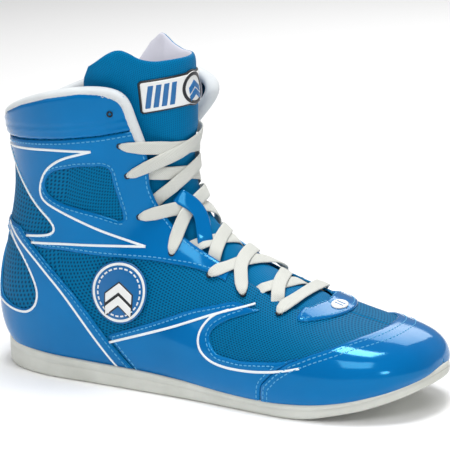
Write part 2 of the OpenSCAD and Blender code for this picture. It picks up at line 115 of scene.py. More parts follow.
def smooth(a, b, x):
    """0 up to a, 1 from b on, and a soft step between them."""
    f = np.clip((np.asarray(x, float) - a) / (b - a), 0, 1)
    return f * f * (3 - 2 * f)


def skin(t, s):
    """Points of the outer skin in millimetres. s is 0 on the ridge and -1 or 1 at the base."""
    t, s = np.broadcast_arrays(np.asarray(t, float), np.asarray(s, float))
    r = blended(t)
    half = np.where(s < 0, r[..., 4], r[..., 5])
    base = np.where(s < 0, r[..., 7], r[..., 8])
    upper = math.pi * np.minimum(abs(s), 0.5)
    lower = math.pi * np.maximum(abs(s) - 0.5, 0)
    power = 2 / r[..., 9]
    on_top = abs(s) < 0.5
    wide = r[..., 6]
    fall_on_top = wide * (1 - np.maximum(np.cos(upper), 0) ** power)
    fall = np.where(on_top, fall_on_top, wide + (1 - wide) * np.sin(lower))
    out = np.where(on_top, half * np.sin(upper) ** power, base + (half - base) * np.cos(lower))
    x = r[..., 0] + (r[..., 2] - r[..., 0]) * fall
    z = r[..., 1] + (r[..., 3] - r[..., 1]) * fall
    return np.stack([x, np.sign(s) * out, z], -1)


def unit(v):
    """Each vector at length one."""
    return v / np.maximum(np.linalg.norm(v, axis=-1, keepdims=True), 1e-9)


def run_along(points):
    """How far along a line each of its points lies."""
    return np.concatenate([[0], np.cumsum(np.linalg.norm(np.diff(points, axis=0), axis=1))])


def at_run(places, run, points):
    """The points at the given places along a line."""
    return np.stack([np.interp(places, run, column) for column in np.transpose(points)], -1)


def outward(t, s):
    """The direction straight out of the skin."""
    d = 0.012
    u = np.maximum(t, 0.03)
    across = skin(u, s + d) - skin(u, s - d)
    along = skin(np.minimum(u + d, LAST), s) - skin(u - d, s)
    return unit(np.cross(across, along))


def flare(t, s):
    """How far the medial half of the collar stands open at the front, in millimetres."""
    return 13 * smooth(12.6, 14.4, t) * smooth(0.05, 0.15, s) * (1 - smooth(0.34, 0.62, s))


def lifted(t, s, h, opened=True):
    """Frame positions in metres, h millimetres above the skin."""
    h = np.asarray(h, float)[..., None]
    if opened:
        h = h + flare(t, s)[..., None]
    return (skin(t, s) + h * outward(t, s) - MIDDLE) * MM


THROAT_END = 4.4
THROAT_T = [THROAT_END, 4.5, 4.8, 5.5, 7, 8.5, 10, 11.5, 12.5, 13.3, 14, 14.7, 16]
THROAT_S = [0, 0.075, 0.125, 0.13, 0.137, 0.162, 0.182, 0.217, 0.226, 0.25, 0.272, 0.286, 0.3]


def throat(t, side=LATERAL):
    """Half width of the throat opening. The medial collar stands a little further forward."""
    forward = 0.09 * smooth(13, 14.4, t) * (np.asarray(side) > 0)
    return np.where(np.asarray(t) < THROAT_END, 0, np.interp(t, THROAT_T, THROAT_S) - forward)


# ---------------------------------------------------------------- outlines in side view

FLEX_LINE = [(-30, 139), (25, 142), (66, 146), (90, 149), (112, 153), (160, 162)]
STRAP_FRONT = [(-30, 91), (14, 90), (27, 89), (45, 74), (66, 53.5), (87, 30), (104, 13), (110, 4)]
BAR_BASE = [(34, 85), (41, 78.5), (59, 79), (85, 77), (115, 76), (140, 73), (158, 68), (170, 60)]
SADDLE_TOP = [(88, 31), (119, 42), (145, 52), (170, 58), (180, 55)]
TOE_SEAM = [(191, -5), (195, 18), (203, 26), (212, 32), (224, 37), (244, 43.5), (262, 47), (276, 50)]
COLLAR = [(-30, 60), (-30, 144), (0, 145), (10, 150), (22, 158), (39, 165), (60, 171), (80, 174.5),
          (96, 174.5), (104, 172), (107.5, 167), (110, 158), (118, 146), (150, 130), (330, 110), (330, -60),
          (-30, -60)]
ANKLE_WINDOW = [(50, 119), (57, 126), (75, 130), (93, 131), (94, 119), (99, 97), (84, 102), (61, 107),
                (51, 112)]
REAR_WINDOW = [(5, 135), (18, 134), (28, 120), (42, 104), (54, 94), (53, 88), (33, 86), (6, 92)]
HEEL_WINDOW = [(3, 84), (17, 82), (32, 69), (40, 53), (38, 44), (31, 39), (20, 39), (4, 44)]
VAMP_WINDOW = [(158, 38), (160, 44), (168, 49), (183, 54), (203, 57), (216, 54), (226, 57), (276, 70),
               (276, 50), (262, 47), (244, 43.5), (224, 37), (207, 32), (181, 29), (164, 30)]
LOWER_CUT = BAR_BASE + [(177, 57), (184, 55.3), (210, 60.3), (240, 40), (240, -40), (70, -40), (60, 40)]

PINSTRIPES = {
    "shaft_upper": [(7, 134.5), (26, 136.5), (58, 139), (84, 139.5)],
    "shaft_sweep": [(84, 139.5), (64, 134), (52, 126), (46.5, 115), (48, 107.5), (61, 102), (85, 92),
                    (111, 83.5)],
    "shaft_lower": [(111, 83.5), (91, 83.5), (59, 82.8), (38, 81)],
    "rear": [(17, 136), (28, 121), (42, 105), (54.5, 95), (56, 90), (51, 86.8), (34, 84.5)],
    "strap": [(16, 89), (40, 72), (58, 54), (77, 31), (95, 11)],
    "heel": [(18, 84), (33, 70), (41.5, 53.5), (39.5, 43.5), (32, 37.5), (20, 37.5), (6, 41)],
    "fore": [(90, 27), (133, 41), (160, 51), (182, 57)],
    "loop": [(168, 53.5), (158, 50), (151.5, 41), (152, 32), (160, 26), (172, 24), (190, 24.5), (207, 27),
             (219, 30)],
}


def rounded(points, radius, closed=True, steps=5):
    """The outline with each corner replaced by a curve that starts radius away from it."""
    points = [np.array(p, float) for p in points]
    result = []
    count = len(points)
    for k, corner in enumerate(points):
        if not closed and k in (0, count - 1):
            result.append(corner)
            continue
        before = points[k - 1] - corner
        after = points[(k + 1) % count] - corner
        start = corner + before * min(radius / np.linalg.norm(before), 0.48)
        end = corner + after * min(radius / np.linalg.norm(after), 0.48)
        for f in np.linspace(0, 1, steps):
            result.append((1 - f) ** 2 * start + 2 * f * (1 - f) * corner + f * f * end)
    return np.array(result)


def signed_distance(points, outline):
    """Distance from each [x, z] point to the outline, positive inside it."""
    a = outline
    b = np.roll(outline, -1, axis=0)
    edge = b - a
    best = np.full(len(points), 1e9)
    inside = np.zeros(len(points), bool)
    for p, q, e in zip(a, b, edge):
        length2 = max(e @ e, 1e-9)
        w = points - p
        f = np.clip((w @ e) / length2, 0, 1)
        best = np.minimum(best, np.linalg.norm(w - f[:, None] * e, axis=1))
        crosses = (p[1] > points[:, 1]) != (q[1] > points[:, 1])
        with np.errstate(divide="ignore", invalid="ignore"):
            x = p[0] + (points[:, 1] - p[1]) * e[0] / e[1]
        inside ^= crosses & (points[:, 0] < x)
    return np.where(inside, best, -best)


# Heights below and above the whole boot
BELOW_ALL, ABOVE_ALL = -60, 260


def under(line, drop=0.0, limit=BELOW_ALL):
    """The area below a line of the side view, after the line is lowered by drop."""
    line = [(x, z - drop) for x, z in line]
    return line + [(line[-1][0], limit), (line[0][0], limit)]


def over(line):
    """The area above a line of the side view."""
    return under(line, limit=ABOVE_ALL)


# ---------------------------------------------------------------- meshes

def make_object(name, points, faces, uv=None, material_index=(), shade=True):
    """A mesh object in the scene. Each point has one texture place."""
    mesh = bpy.data.meshes.new(name)
    mesh.from_pydata([tuple(p) for p in points], [], faces)
    mesh.validate()
    if uv is not None:
        layer = mesh.uv_layers.new(name="UVMap")
        loops = np.empty(len(mesh.loops), np.int32)
        mesh.loops.foreach_get("vertex_index", loops)
        layer.data.foreach_set("uv", np.asarray(uv, np.float32)[loops].ravel())
    if len(material_index) == len(mesh.polygons):
        mesh.polygons.foreach_set("material_index", np.asarray(material_index, np.int32))
    mesh.polygons.foreach_set("use_smooth", np.full(len(mesh.polygons), shade))
    mesh.update()
    obj = bpy.data.objects.new(name, mesh)
    bpy.context.scene.collection.objects.link(obj)
    return obj


def grid_faces(rows, columns):
    """The four-cornered faces of a grid of points."""
    i, j = np.meshgrid(np.arange(rows - 1), np.arange(columns - 1), indexing="ij")
    a = i * columns + j
    return np.stack([a, a + 1, a + columns + 1, a + columns], -1).reshape(-1, 4)


class Patch:
    """A grid of places on the skin, with their positions and lengths in millimetres."""

    def __init__(self, t, s):
        self.t = t.ravel()
        self.s = s.ravel()
        self.faces = grid_faces(*t.shape)
        self.at = skin(self.t, self.s)
        self.side_view = self.at[:, [0, 2]]
        self.plan = self.at[:, [0, 1]]
        d = 0.01
        self.across = np.linalg.norm(skin(self.t, self.s + d) - skin(self.t, self.s - d), axis=-1) / (2 * d)

    def between(self, a, b, share):
        """t and s on the way from place a to place b."""
        return self.t[a] + share * (self.t[b] - self.t[a]), self.s[a] + share * (self.s[b] - self.s[a])

    def inside(self, outline, radius=0.0):
        """How far inside an outline of the side view each place lies."""
        loop = rounded(outline, radius) if radius else np.array(outline, float)
        return signed_distance(self.side_view, loop)

    def from_throat(self):
        """How far each place lies from the edge of the throat."""
        return (abs(self.s) - throat(self.t, self.s)) * self.across


def patch_grid(t0, t1, step, columns):
    """Places up the boot, and shares of the way from the patch's first edge to its second."""
    rows = np.linspace(t0, t1, max(int((t1 - t0) / step), 2) + 1)
    return np.meshgrid(rows, np.linspace(0, 1, columns + 1), indexing="ij")


def whole_patch(t0, t1, step, columns):
    """A patch from base to base. Its columns crowd towards the ridge, where steps of s are wide."""
    t, f = patch_grid(t0, t1, step, columns)
    return Patch(t, np.sign(2 * f - 1) * abs(2 * f - 1) ** 1.25)


def side_patch(side, t0, t1, step=0.05, columns=110, first=None, last=1.0):
    """A patch on one side, from the throat or from first."""
    t, f = patch_grid(t0, t1, step, columns)
    start = throat(t, side) if first is None else np.full_like(t, first)
    s = start + f * (last - start)
    return Patch(t, -s[:, ::-1] if side == LATERAL else s)


def length_map(t, s):
    """Texture places in metres: how far along the boot, and how far round it."""
    ts = np.linspace(0, LAST, 161)
    ss = np.linspace(0, 1, 41)
    u = np.interp(t, ts, run_along(skin(ts, -0.42))) * MM
    v = np.sign(s) * np.interp(abs(s), ss, run_along(skin(8.0, ss))) * MM
    return np.stack([u, v], -1)


def clip_to(patch, distance):
    """The part of a patch where distance is positive, cut cleanly along its edge."""
    keep = distance > 0
    count_in = keep[patch.faces].sum(1)
    faces = [tuple(f) for f in patch.faces[count_in == 4]]
    t, s, d = list(patch.t), list(patch.s), list(distance)
    made = {}
    for face in patch.faces[(count_in > 0) & (count_in < 4)]:
        polygon = []
        for a, b in zip(face, face[[1, 2, 3, 0]]):
            if keep[a]:
                polygon.append(a)
            if keep[a] != keep[b]:
                key = (min(a, b), max(a, b))
                if key not in made:
                    share = distance[a] / (distance[a] - distance[b])
                    made[key] = len(t)
                    t_cut, s_cut = patch.between(a, b, min(max(share, 0.02), 0.98))
                    t.append(t_cut)
                    s.append(s_cut)
                    d.append(0.0)
                polygon.append(made[key])
        if len(polygon) >= 3:
            faces.append(tuple(polygon))
    used = sorted({v for f in faces for v in f})
    renumber = {v: k for k, v in enumerate(used)}
    faces = [tuple(renumber[v] for v in f) for f in faces]
    return np.array(t)[used], np.array(s)[used], np.array(d)[used], faces


def boundary_edges(faces):
    """The edges that only one face uses."""
    seen = dict.fromkeys((f[k], f[(k + 1) % len(f)]) for f in faces for k in range(len(f)))
    return [(a, b) for a, b in seen if (b, a) not in seen]


def between(name, outer, inner, faces, uv, inner_index=0, rim_index=1):
    """A closed piece between an outer and an inner layer of points."""
    count = len(outer)
    faces = [tuple(face) for face in faces]
    lower = [tuple(v + count for v in reversed(f)) for f in faces]
    walls = [(b, a, a + count, b + count) for a, b in boundary_edges(faces)]
    index = [0] * len(faces) + [inner_index] * len(faces) + [rim_index] * len(walls)
    return make_object(name, np.vstack([outer, inner]), faces + lower + walls, np.vstack([uv, uv]), index)


def closed_shell(name, t, s, faces, high, low, opened=True):
    """A closed piece between two heights over the skin."""
    return between(name, lifted(t, s, high, opened), lifted(t, s, low, opened), faces, length_map(t, s))


def rounded_over(distance, edge, at_rim=0.55):
    """Share of a layer's thickness, which is at_rim at its rim and whole from edge millimetres inside."""
    f = np.clip(distance / edge, 0, 1)
    return at_rim + (1 - at_rim) * np.sqrt(1 - (1 - f) ** 2)


def cut_piece(name, patch, distance, high, low, edge=0.9, relief=None):
    """A layer cut from a patch, whose edge rounds over within edge millimetres."""
    t, s, d, faces = clip_to(patch, distance)
    height = low + (high - low) * rounded_over(d, edge)
    if relief is not None:
        height = height + relief(t, s) * smooth(0, 2.5, d)
    return closed_shell(name, t, s, faces, height, low)


# Finding the place on the skin below a point of the side view

TABLE_T, TABLE_S = np.meshgrid(np.linspace(0.1, 15.9, 317), np.linspace(0, 1, 121), indexing="ij")
TABLE_XZ = {side: skin(TABLE_T, side * TABLE_S)[..., [0, 2]].reshape(-1, 2) for side in (LATERAL, MEDIAL)}


def place(points, side):
    """t and s of side-view points on one side."""
    found = []
    for p in np.asarray(points, float):
        k = int(((TABLE_XZ[side] - p) ** 2).sum(1).argmin())
        t, s = TABLE_T.ravel()[k], side * TABLE_S.ravel()[k]
        for _ in range(4):
            here = skin(t, s)[[0, 2]]
            d = 1e-3
            jacobian = np.stack([(skin(t + d, s)[[0, 2]] - here) / d, (skin(t, s + d)[[0, 2]] - here) / d], 1)
            step = np.linalg.lstsq(jacobian, p - here, rcond=0.05)[0]
            t = float(np.clip(t + np.clip(step[0], -0.3, 0.3), 0.05, LAST - 0.01))
            s = side * float(np.clip(side * (s + np.clip(step[1], -0.05, 0.05)), 0.0, 1.0))
        found.append((t, s))
    return np.array(found)


def resample(points, gap):
    """The same line with its points about gap apart."""
    points = np.asarray(points, float)
    run = run_along(points)
    count = max(int(run[-1] / gap), 2)
    return at_run(np.linspace(0, run[-1], count + 1), run, points)


def tube(centres, wide, up, section, closed=False):
    """Points, faces and texture places of a tube whose section's [across, up] points follow centres."""
    section = np.asarray(section, float)
    rings, around = len(centres), section.shape[-2]
    section = np.broadcast_to(section, (rings, around, 2))
    points = centres[:, None] + section[..., :1] * wide[:, None] + section[..., 1:] * up[:, None]
    uv = np.stack([np.repeat(run_along(centres), around), section[..., 0].ravel()], -1)
    faces = []
    for i in range(rings if closed else rings - 1):
        following = ((i + 1) % rings) * around
        for k in range(around):
            beside = (k + 1) % around
            faces.append((i * around + k, i * around + beside, following + beside, following + k))
    if not closed:
        faces.append(tuple(range(around - 1, -1, -1)))
        faces.append(tuple((rings - 1) * around + k for k in range(around)))
    return points.reshape(-1, 3), faces, uv


def frames_along(t, s, h):
    """Centres, sideways and upward directions of a run over the skin."""
    centres = lifted(t, s, h)
    along = unit(np.gradient(centres, axis=0))
    up = outward(t, s)
    wide = unit(np.cross(up, along))
    return centres, wide, unit(np.cross(along, wide))


def oval(half_wide, half_high, count=10, power=2.0):
    """A section of [across, up] points. A higher power makes it squarer."""
    angles = np.linspace(0, 2 * math.pi, count, endpoint=False)
    c, s = np.cos(angles), np.sin(angles)
    across = half_wide * np.sign(c) * abs(c) ** (2 / power)
    up = half_high * np.sign(s) * abs(s) ** (2 / power)
    return np.stack([across, up], -1)


def pinstripe(line, side, base):
    """The tube of a thin raised line over side-view points."""
    points = resample(rounded(line, 8, closed=False), 1.5)
    centres, wide, up = frames_along(*place(points, side).T, base)
    return tube(centres, wide, up, oval(0.75 * MM, 0.35 * MM, 8))


def joined(name, parts):
    """One object from the points, faces and texture places of several tubes."""
    points, faces, uvs = [], [], []
    count = 0
    for part_points, part_faces, part_uv in parts:
        points.append(part_points)
        faces += [tuple(v + count for v in face) for face in part_faces]
        uvs.append(part_uv)
        count += len(part_points)
    return make_object(name, np.vstack(points), faces, np.vstack(uvs))


def contour(patch, values, level):
    """Chains of [t, s] places where values cross level."""
    v = values - level
    positive = v > 0
    count_in = positive[patch.faces].sum(1)
    crossings, links = {}, {}
    for face in patch.faces[(count_in > 0) & (count_in < 4)]:
        hits = []
        for a, b in zip(face, face[[1, 2, 3, 0]]):
            if positive[a] != positive[b]:
                key = (min(a, b), max(a, b))
                if key not in crossings:
                    crossings[key] = patch.between(a, b, v[a] / (v[a] - v[b]))
                hits.append(key)
        if len(hits) == 2:
            links.setdefault(hits[0], []).append(hits[1])
            links.setdefault(hits[1], []).append(hits[0])
    chains = []
    left = set(links)
    for start in [key for key in links if len(links[key]) == 1] + list(links):
        chain = []
        onward = [start]
        while onward := [key for key in onward if key in left]:
            chain.append(onward[0])
            left.discard(onward[0])
            onward = links[onward[0]]
        if len(chain) > 5:
            chains.append(np.array([crossings[key] for key in chain]))
    return chains


def stitches_along(t, s, height, pitch=3.0, length=2.1, radius=0.32):
    """Tubes of small rounded stitches along a chain of places."""
    run = run_along(lifted(t, s, 0)) / MM
    if run[-1] < 2 * pitch:
        return []
    taper = np.array([0.35, 1, 1, 0.35])[:, None, None]
    stitches = []
    for start in np.arange(0.5, run[-1] - length, pitch):
        at = start + np.array([0, 0.2, 0.8, 1.0]) * length
        tt, ss = np.interp(at, run, t), np.interp(at, run, s)
        centres = lifted(tt, ss, height)
        up = outward(tt, ss)
        wide = unit(np.cross(up, unit(centres[-1] - centres[0])))
        stitches.append(tube(centres, wide, up, taper * oval(radius * MM, radius * MM, 6)))
    return stitches


# ---------------------------------------------------------------- materials

class Nodes:
    """Short calls for building a material's node tree."""

    def __init__(self, name, color, roughness, **sockets):
        self.material = bpy.data.materials.new(name)
        self.material.use_nodes = True
        self.tree = self.material.node_tree
        self.shader = self.tree.nodes["Principled BSDF"]
        self.shader.inputs["Base Color"].default_value = (*color, 1)
        self.shader.inputs["Roughness"].default_value = roughness
        for key, value in sockets.items():
            self.shader.inputs[key.replace("_", " ")].default_value = value

    def add(self, kind, **settings):
        node = self.tree.nodes.new(kind)
        for key, value in settings.items():
            if hasattr(node, key):
                setattr(node, key, value)
            else:
                node.inputs[key.replace("_", " ")].default_value = value
        return node

    def link(self, a, b):
        self.tree.links.new(a, b)

    def math(self, operation, a, b=0.0):
        node = self.add("ShaderNodeMath", operation=operation)
        for socket, value in zip(node.inputs, (a, b)):
            if isinstance(value, (int, float)):
                socket.default_value = value
            else:
                self.link(value, socket)
        return node.outputs[0]

    def ramp(self, factor, *stops):
        node = self.add("ShaderNodeValToRGB")
        while len(node.color_ramp.elements) < len(stops):
            node.color_ramp.elements.new(0.5)
        for element, (position, color) in zip(node.color_ramp.elements, stops):
            element.position = position
            element.color = (*color, 1)
        self.link(factor, node.inputs[0])
        return node.outputs[0]

    def uv(self):
        """The two texture coordinates, in metres."""
        split = self.add("ShaderNodeSeparateXYZ")
        self.link(self.add("ShaderNodeUVMap", uv_map="UVMap").outputs[0], split.inputs[0])
        return split.outputs[:2]

    def objects(self):
        return self.add("ShaderNodeTexCoord").outputs["Object"]

    def noise(self, vector, scale, detail=3.0):
        node = self.add("ShaderNodeTexNoise", Scale=scale, Detail=detail)
        self.link(vector, node.inputs["Vector"])
        return node.outputs[0]

    def bump(self, height, strength, distance):
        node = self.add("ShaderNodeBump", Strength=strength, Distance=distance)
        self.link(height, node.inputs["Height"])
        last = self.shader.inputs["Normal"]
        if last.is_linked:
            self.link(last.links[0].from_socket, node.inputs["Normal"])
        self.link(node.outputs[0], last)

    def color(self, output):
        self.link(output, self.shader.inputs["Base Color"])

    def roughness(self, factor, low, high):
        node = self.add("ShaderNodeMapRange")
        node.inputs["To Min"].default_value = low
        node.inputs["To Max"].default_value = high
        self.link(factor, node.inputs["Value"])
        self.link(node.outputs[0], self.shader.inputs["Roughness"])


def patent(name, color, deep):
    """Glossy patent synthetic: coated, with faint grain and shallow creases."""
    m = Nodes(name, color, 0.3, Coat_Weight=0.1, Coat_Roughness=0.03, Specular_IOR_Level=0.6,
              Specular_Tint=(0.12, 0.7, 1.0, 1.0))
    where = m.objects()
    broad = m.noise(where, 26, 2)
    fine = m.noise(where, 900, 2)
    m.color(m.ramp(broad, (0.3, deep), (0.7, color)))
    m.roughness(m.noise(where, 60, 4), 0.07, 0.16)
    m.bump(broad, 0.35, 0.0022)
    m.bump(fine, 0.12, 0.0001)
    return m.material


def knit(name, color, deep, pitch, depth=0.5):
    """Open sports mesh: rows of small round holes, offset row by row. Pitch is in metres."""
    m = Nodes(name, color, 0.62, Specular_IOR_Level=0.2, Specular_Tint=(0.2, 0.7, 1.0, 1.0))
    along, across = m.uv()
    u = m.math("DIVIDE", along, pitch)
    v = m.math("DIVIDE", across, pitch * 0.87)
    row = m.math("MODULO", m.math("FLOOR", v), 2)
    shifted = m.math("ADD", u, m.math("MULTIPLY", row, 0.5))
    du = m.math("SUBTRACT", m.math("FRACT", shifted), 0.5)
    dv = m.math("SUBTRACT", m.math("FRACT", v), 0.5)
    away = m.math("SQRT", m.math("ADD", m.math("MULTIPLY", du, du), m.math("MULTIPLY", dv, dv)))
    solid = m.ramp(away, (0.2, (0, 0, 0)), (0.34, (1, 1, 1)))
    # Painted shade: the colour darkens towards each hole's middle, standing in for shade inside the holes
    m.color(m.ramp(away, (0.2, deep), (0.4, color)))
    m.bump(solid, depth, 0.0004)
    m.bump(m.noise(m.objects(), 500, 2), 0.15, 0.0002)
    return m.material


def cloth(name, color, shadow, scale=1400, strength=0.3):
    """Soft lining or tape with a fine even weave."""
    m = Nodes(name, color, 0.8, Sheen_Weight=0.2, Sheen_Roughness=0.5)
    where = m.objects()
    weave = m.noise(where, scale, 2)
    m.color(m.ramp(m.noise(where, 45, 3), (0.3, shadow), (0.7, color)))
    m.bump(weave, strength, 0.0003)
    return m.material


def braid(name, color, shadow):
    """A flat tubular lace: slanted yarns that meet along its middle."""
    m = Nodes(name, color, 0.72, Sheen_Weight=0.25, Sheen_Roughness=0.4)
    yarn_pitch, rib_pitch = 0.0011, 0.0009
    along, across = m.uv()
    slanted = m.math("ADD", along, m.math("ABSOLUTE", across))
    yarn = m.math("SINE", m.math("MULTIPLY", slanted, 2 * math.pi / yarn_pitch))
    rib = m.math("SINE", m.math("MULTIPLY", across, 2 * math.pi / rib_pitch))
    height = m.math("ADD", m.math("MULTIPLY", yarn, 0.5), m.math("MULTIPLY", rib, 0.3))
    # Painted shade: the yarns darken towards the grooves between them, following the bump
    m.color(m.ramp(m.math("ADD", m.math("MULTIPLY", yarn, 0.25), 0.6), (0.2, shadow), (0.75, color)))
    m.bump(height, 0.45, 0.0003)
    return m.material


def rubber(name, color, shadow):
    """Smooth moulded rubber with a fine matt texture and light scuffs."""
    m = Nodes(name, color, 0.5, Specular_IOR_Level=0.4)
    where = m.objects()
    m.color(m.ramp(m.noise(where, 35, 5), (0.35, shadow), (0.6, color)))
    m.roughness(m.noise(where, 120, 4), 0.42, 0.62)
    m.bump(m.noise(where, 1500, 2), 0.12, 0.0002)
    return m.material


def plastic(name, color, roughness, metallic=0.0):
    """Smooth plastic or painted metal with a slightly uneven sheen."""
    m = Nodes(name, color, roughness, Metallic=metallic)
    where = m.objects()
    m.roughness(m.noise(where, 200, 3), roughness * 0.8, roughness * 1.25)
    m.bump(m.noise(where, 1100, 2), 0.1, 0.0001)
    return m.material


PATENT = patent("patent_blue", (0.0, 0.148, 0.43), (0.0, 0.125, 0.37))
PATENT_EDGE = plastic("patent_edge", (0.01, 0.27, 0.58), 0.4)
# The second colour of each mesh is painted shade inside its holes
MESH = knit("mesh_blue", (0.0, 0.148, 0.33), (0.0, 0.043, 0.12), 0.0021)
TONGUE = knit("tongue_blue", (0.0, 0.17, 0.385), (0.0, 0.09, 0.235), 0.0014, 0.35)
WHITE_LINE = plastic("pinstripe_white", (0.82, 0.86, 0.88), 0.35)
STITCH = cloth("stitch_blue", (0.10, 0.42, 0.70), (0.06, 0.34, 0.60))
STITCH_WHITE = cloth("stitch_white", (0.75, 0.78, 0.78), (0.6, 0.63, 0.64))
LINING = cloth("lining_white", (0.66, 0.66, 0.74), (0.58, 0.58, 0.66), 1100)
BINDING = cloth("binding_white", (0.70, 0.73, 0.74), (0.60, 0.63, 0.65), 1600, 0.2)
# The lace's second colour is painted shade in the grooves between its yarns
LACE = braid("lace_white", (0.70, 0.71, 0.66), (0.50, 0.51, 0.47))
SOLE = rubber("sole_rubber", (0.64, 0.65, 0.60), (0.56, 0.57, 0.52))
BADGE_WHITE = plastic("badge_white", (0.82, 0.83, 0.82), 0.35)
BADGE_BLUE = plastic("badge_blue", (0.003, 0.13, 0.36), 0.3)
DARK = plastic("outline_black", (0.012, 0.014, 0.018), 0.35)
EYELET = plastic("eyelet_black", (0.02, 0.022, 0.028), 0.28, metallic=0.6)
BOARD = cloth("board_fibre", (0.42, 0.30, 0.18), (0.34, 0.24, 0.14), 700)
FOAM = cloth("liner_grey", (0.42, 0.43, 0.47), (0.34, 0.35, 0.39), 900)
STIFFENER = plastic("stiffener_grey", (0.3, 0.3, 0.3), 0.6)


def finish(obj, body, material, nodes=(), edge=None):
    """Gives a piece its look, its body and the CAD nodes that it stands for."""
    obj.data.materials.append(material)
    if edge:
        obj.data.materials.append(edge)
    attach(obj, body)
    if nodes:
        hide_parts(*nodes)


# ---------------------------------------------------------------- the upper

# Heights over the skin in millimetres
OVERLAY_LOW, OVERLAY_HIGH = 0.1, 1.3
MESH_LOW = -1.1
LINING_HIGH, LINING_THICK = -3.2, 1.1
# How much higher the heel panels lie than the other overlays
HEEL_RISE = 0.3
ON_HEEL_PANEL = ("strap", "heel")
# Past this s the sole hides the stitches
SOLE_FROM = 0.86
# The x of two front edges
EYESTAY_FRONT, SADDLE_FRONT = 206, 225
FULL = whole_patch(0.02, 5.95, 0.05, 230)
SIDE = {side: side_patch(side, THROAT_END + 0.02, 15.38) for side in (LATERAL, MEDIAL)}


def cut_and_finish(name, patch, distance, high, low, material, nodes=(), edge=0.9):
    """A cut piece with one look on all its faces, which rides the boot."""
    obj = cut_piece(name, patch, distance, high, low, edge)
    finish(obj, "boot", material, nodes, material)


def overlay(name, patch, distance, node, rise=0.0, stitch_levels=(), relief=None):
    """A glossy overlay, with stitches at the given distances from its edge."""
    high = OVERLAY_HIGH + rise
    obj = cut_piece(name + "_patent", patch, distance, high, OVERLAY_LOW, relief=relief)
    finish(obj, "boot", PATENT, [node], PATENT_EDGE)
    tubes = []
    for level in stitch_levels:
        for chain in contour(patch, distance, level):
            above_sole = chain[abs(chain[:, 1]) < SOLE_FROM]
            if len(above_sole) > 6:
                tubes += stitches_along(*above_sole.T, high)
    if tubes:
        finish(joined(name + "_stitches", tubes), "boot", STITCH)


def mesh_base():
    """The knitted mesh under the overlays: the vamp, then the quarters from t 5.85 on."""
    mm_per_t = 30
    vamp = np.minimum(FULL.from_throat(), (5.88 - FULL.t) * mm_per_t)
    cut_and_finish("vamp_mesh_knit", FULL, vamp, 0, MESH_LOW, MESH, ["vamp_mesh"])
    for word, side in SIDES.items():
        patch = SIDE[side]
        behind_vamp = (patch.t - 5.85) * mm_per_t
        quarter = np.minimum.reduce([patch.inside(COLLAR), patch.from_throat() + 0.01, behind_vamp])
        cut_and_finish(word + "_quarter_knit", patch, quarter, 0, MESH_LOW, MESH, [word + "_quarter"])


def collar_relief(t, s):
    """How far the padded ankle swells outwards, less two flex grooves that run round its foot."""
    at = skin(t, s)
    line = np.interp(at[..., 0], *zip(*FLEX_LINE))
    grooves = sum(0.55 * np.exp(-((at[..., 2] - line - offset) / 0.9) ** 2) for offset in (3.5, 7.5))
    return 1.6 * smooth(13.7, 14.4, t) * smooth(0.29, 0.42, abs(s)) - grooves


def overlays():
    """The glossy overlays on both sides, cut around their mesh windows."""
    seam = [(x - 0.5, z) for x, z in TOE_SEAM[::-1]]
    saddle_outline = [(111, -20), (105, 13.5)] + SADDLE_TOP + seam + [(191, -20)]
    for word, side in SIDES.items():
        patch = SIDE[side]
        throat_edge = patch.from_throat() + 0.02
        stay = np.minimum.reduce([
            throat_edge, patch.inside(under(FLEX_LINE, 0.8)), -patch.inside(under(STRAP_FRONT)) - 0.5,
            -patch.inside(LOWER_CUT, 6), -patch.inside(ANKLE_WINDOW, 5), -patch.inside(REAR_WINDOW, 5),
            EYESTAY_FRONT - patch.at[:, 0], patch.inside(COLLAR)])
        overlay(word + "_eyestay", patch, stay, word + "_eyestay", stitch_levels=[2.0])
        collar = np.minimum.reduce([throat_edge, patch.inside(over(FLEX_LINE)), patch.inside(COLLAR)])
        overlay(word + "_collar", patch, collar, word + "_collar_panel", relief=collar_relief)
        heel = np.minimum(patch.inside(under(STRAP_FRONT, 0.4)), -patch.inside(HEEL_WINDOW, 6))
        overlay(word + "_heel", patch, heel, word + "_heel_panel", HEEL_RISE, [1.8])
        low = side_patch(side, 3.6, 9.2)
        saddle = np.minimum.reduce([
            low.inside(saddle_outline, 3), -low.inside(under(STRAP_FRONT)) - 0.5,
            -low.inside(VAMP_WINDOW, 4), SADDLE_FRONT - low.at[:, 0], low.from_throat() + 0.02])
        overlay(word + "_side", low, saddle, word + "_side_panel", stitch_levels=[2.0])
        for key, line in PINSTRIPES.items():
            stripe = pinstripe(line, side, OVERLAY_HIGH + (0.35 if key in ON_HEEL_PANEL else 0.05))
            finish(joined(word + "_pinstripe_" + key, [stripe]), "boot", WHITE_LINE)


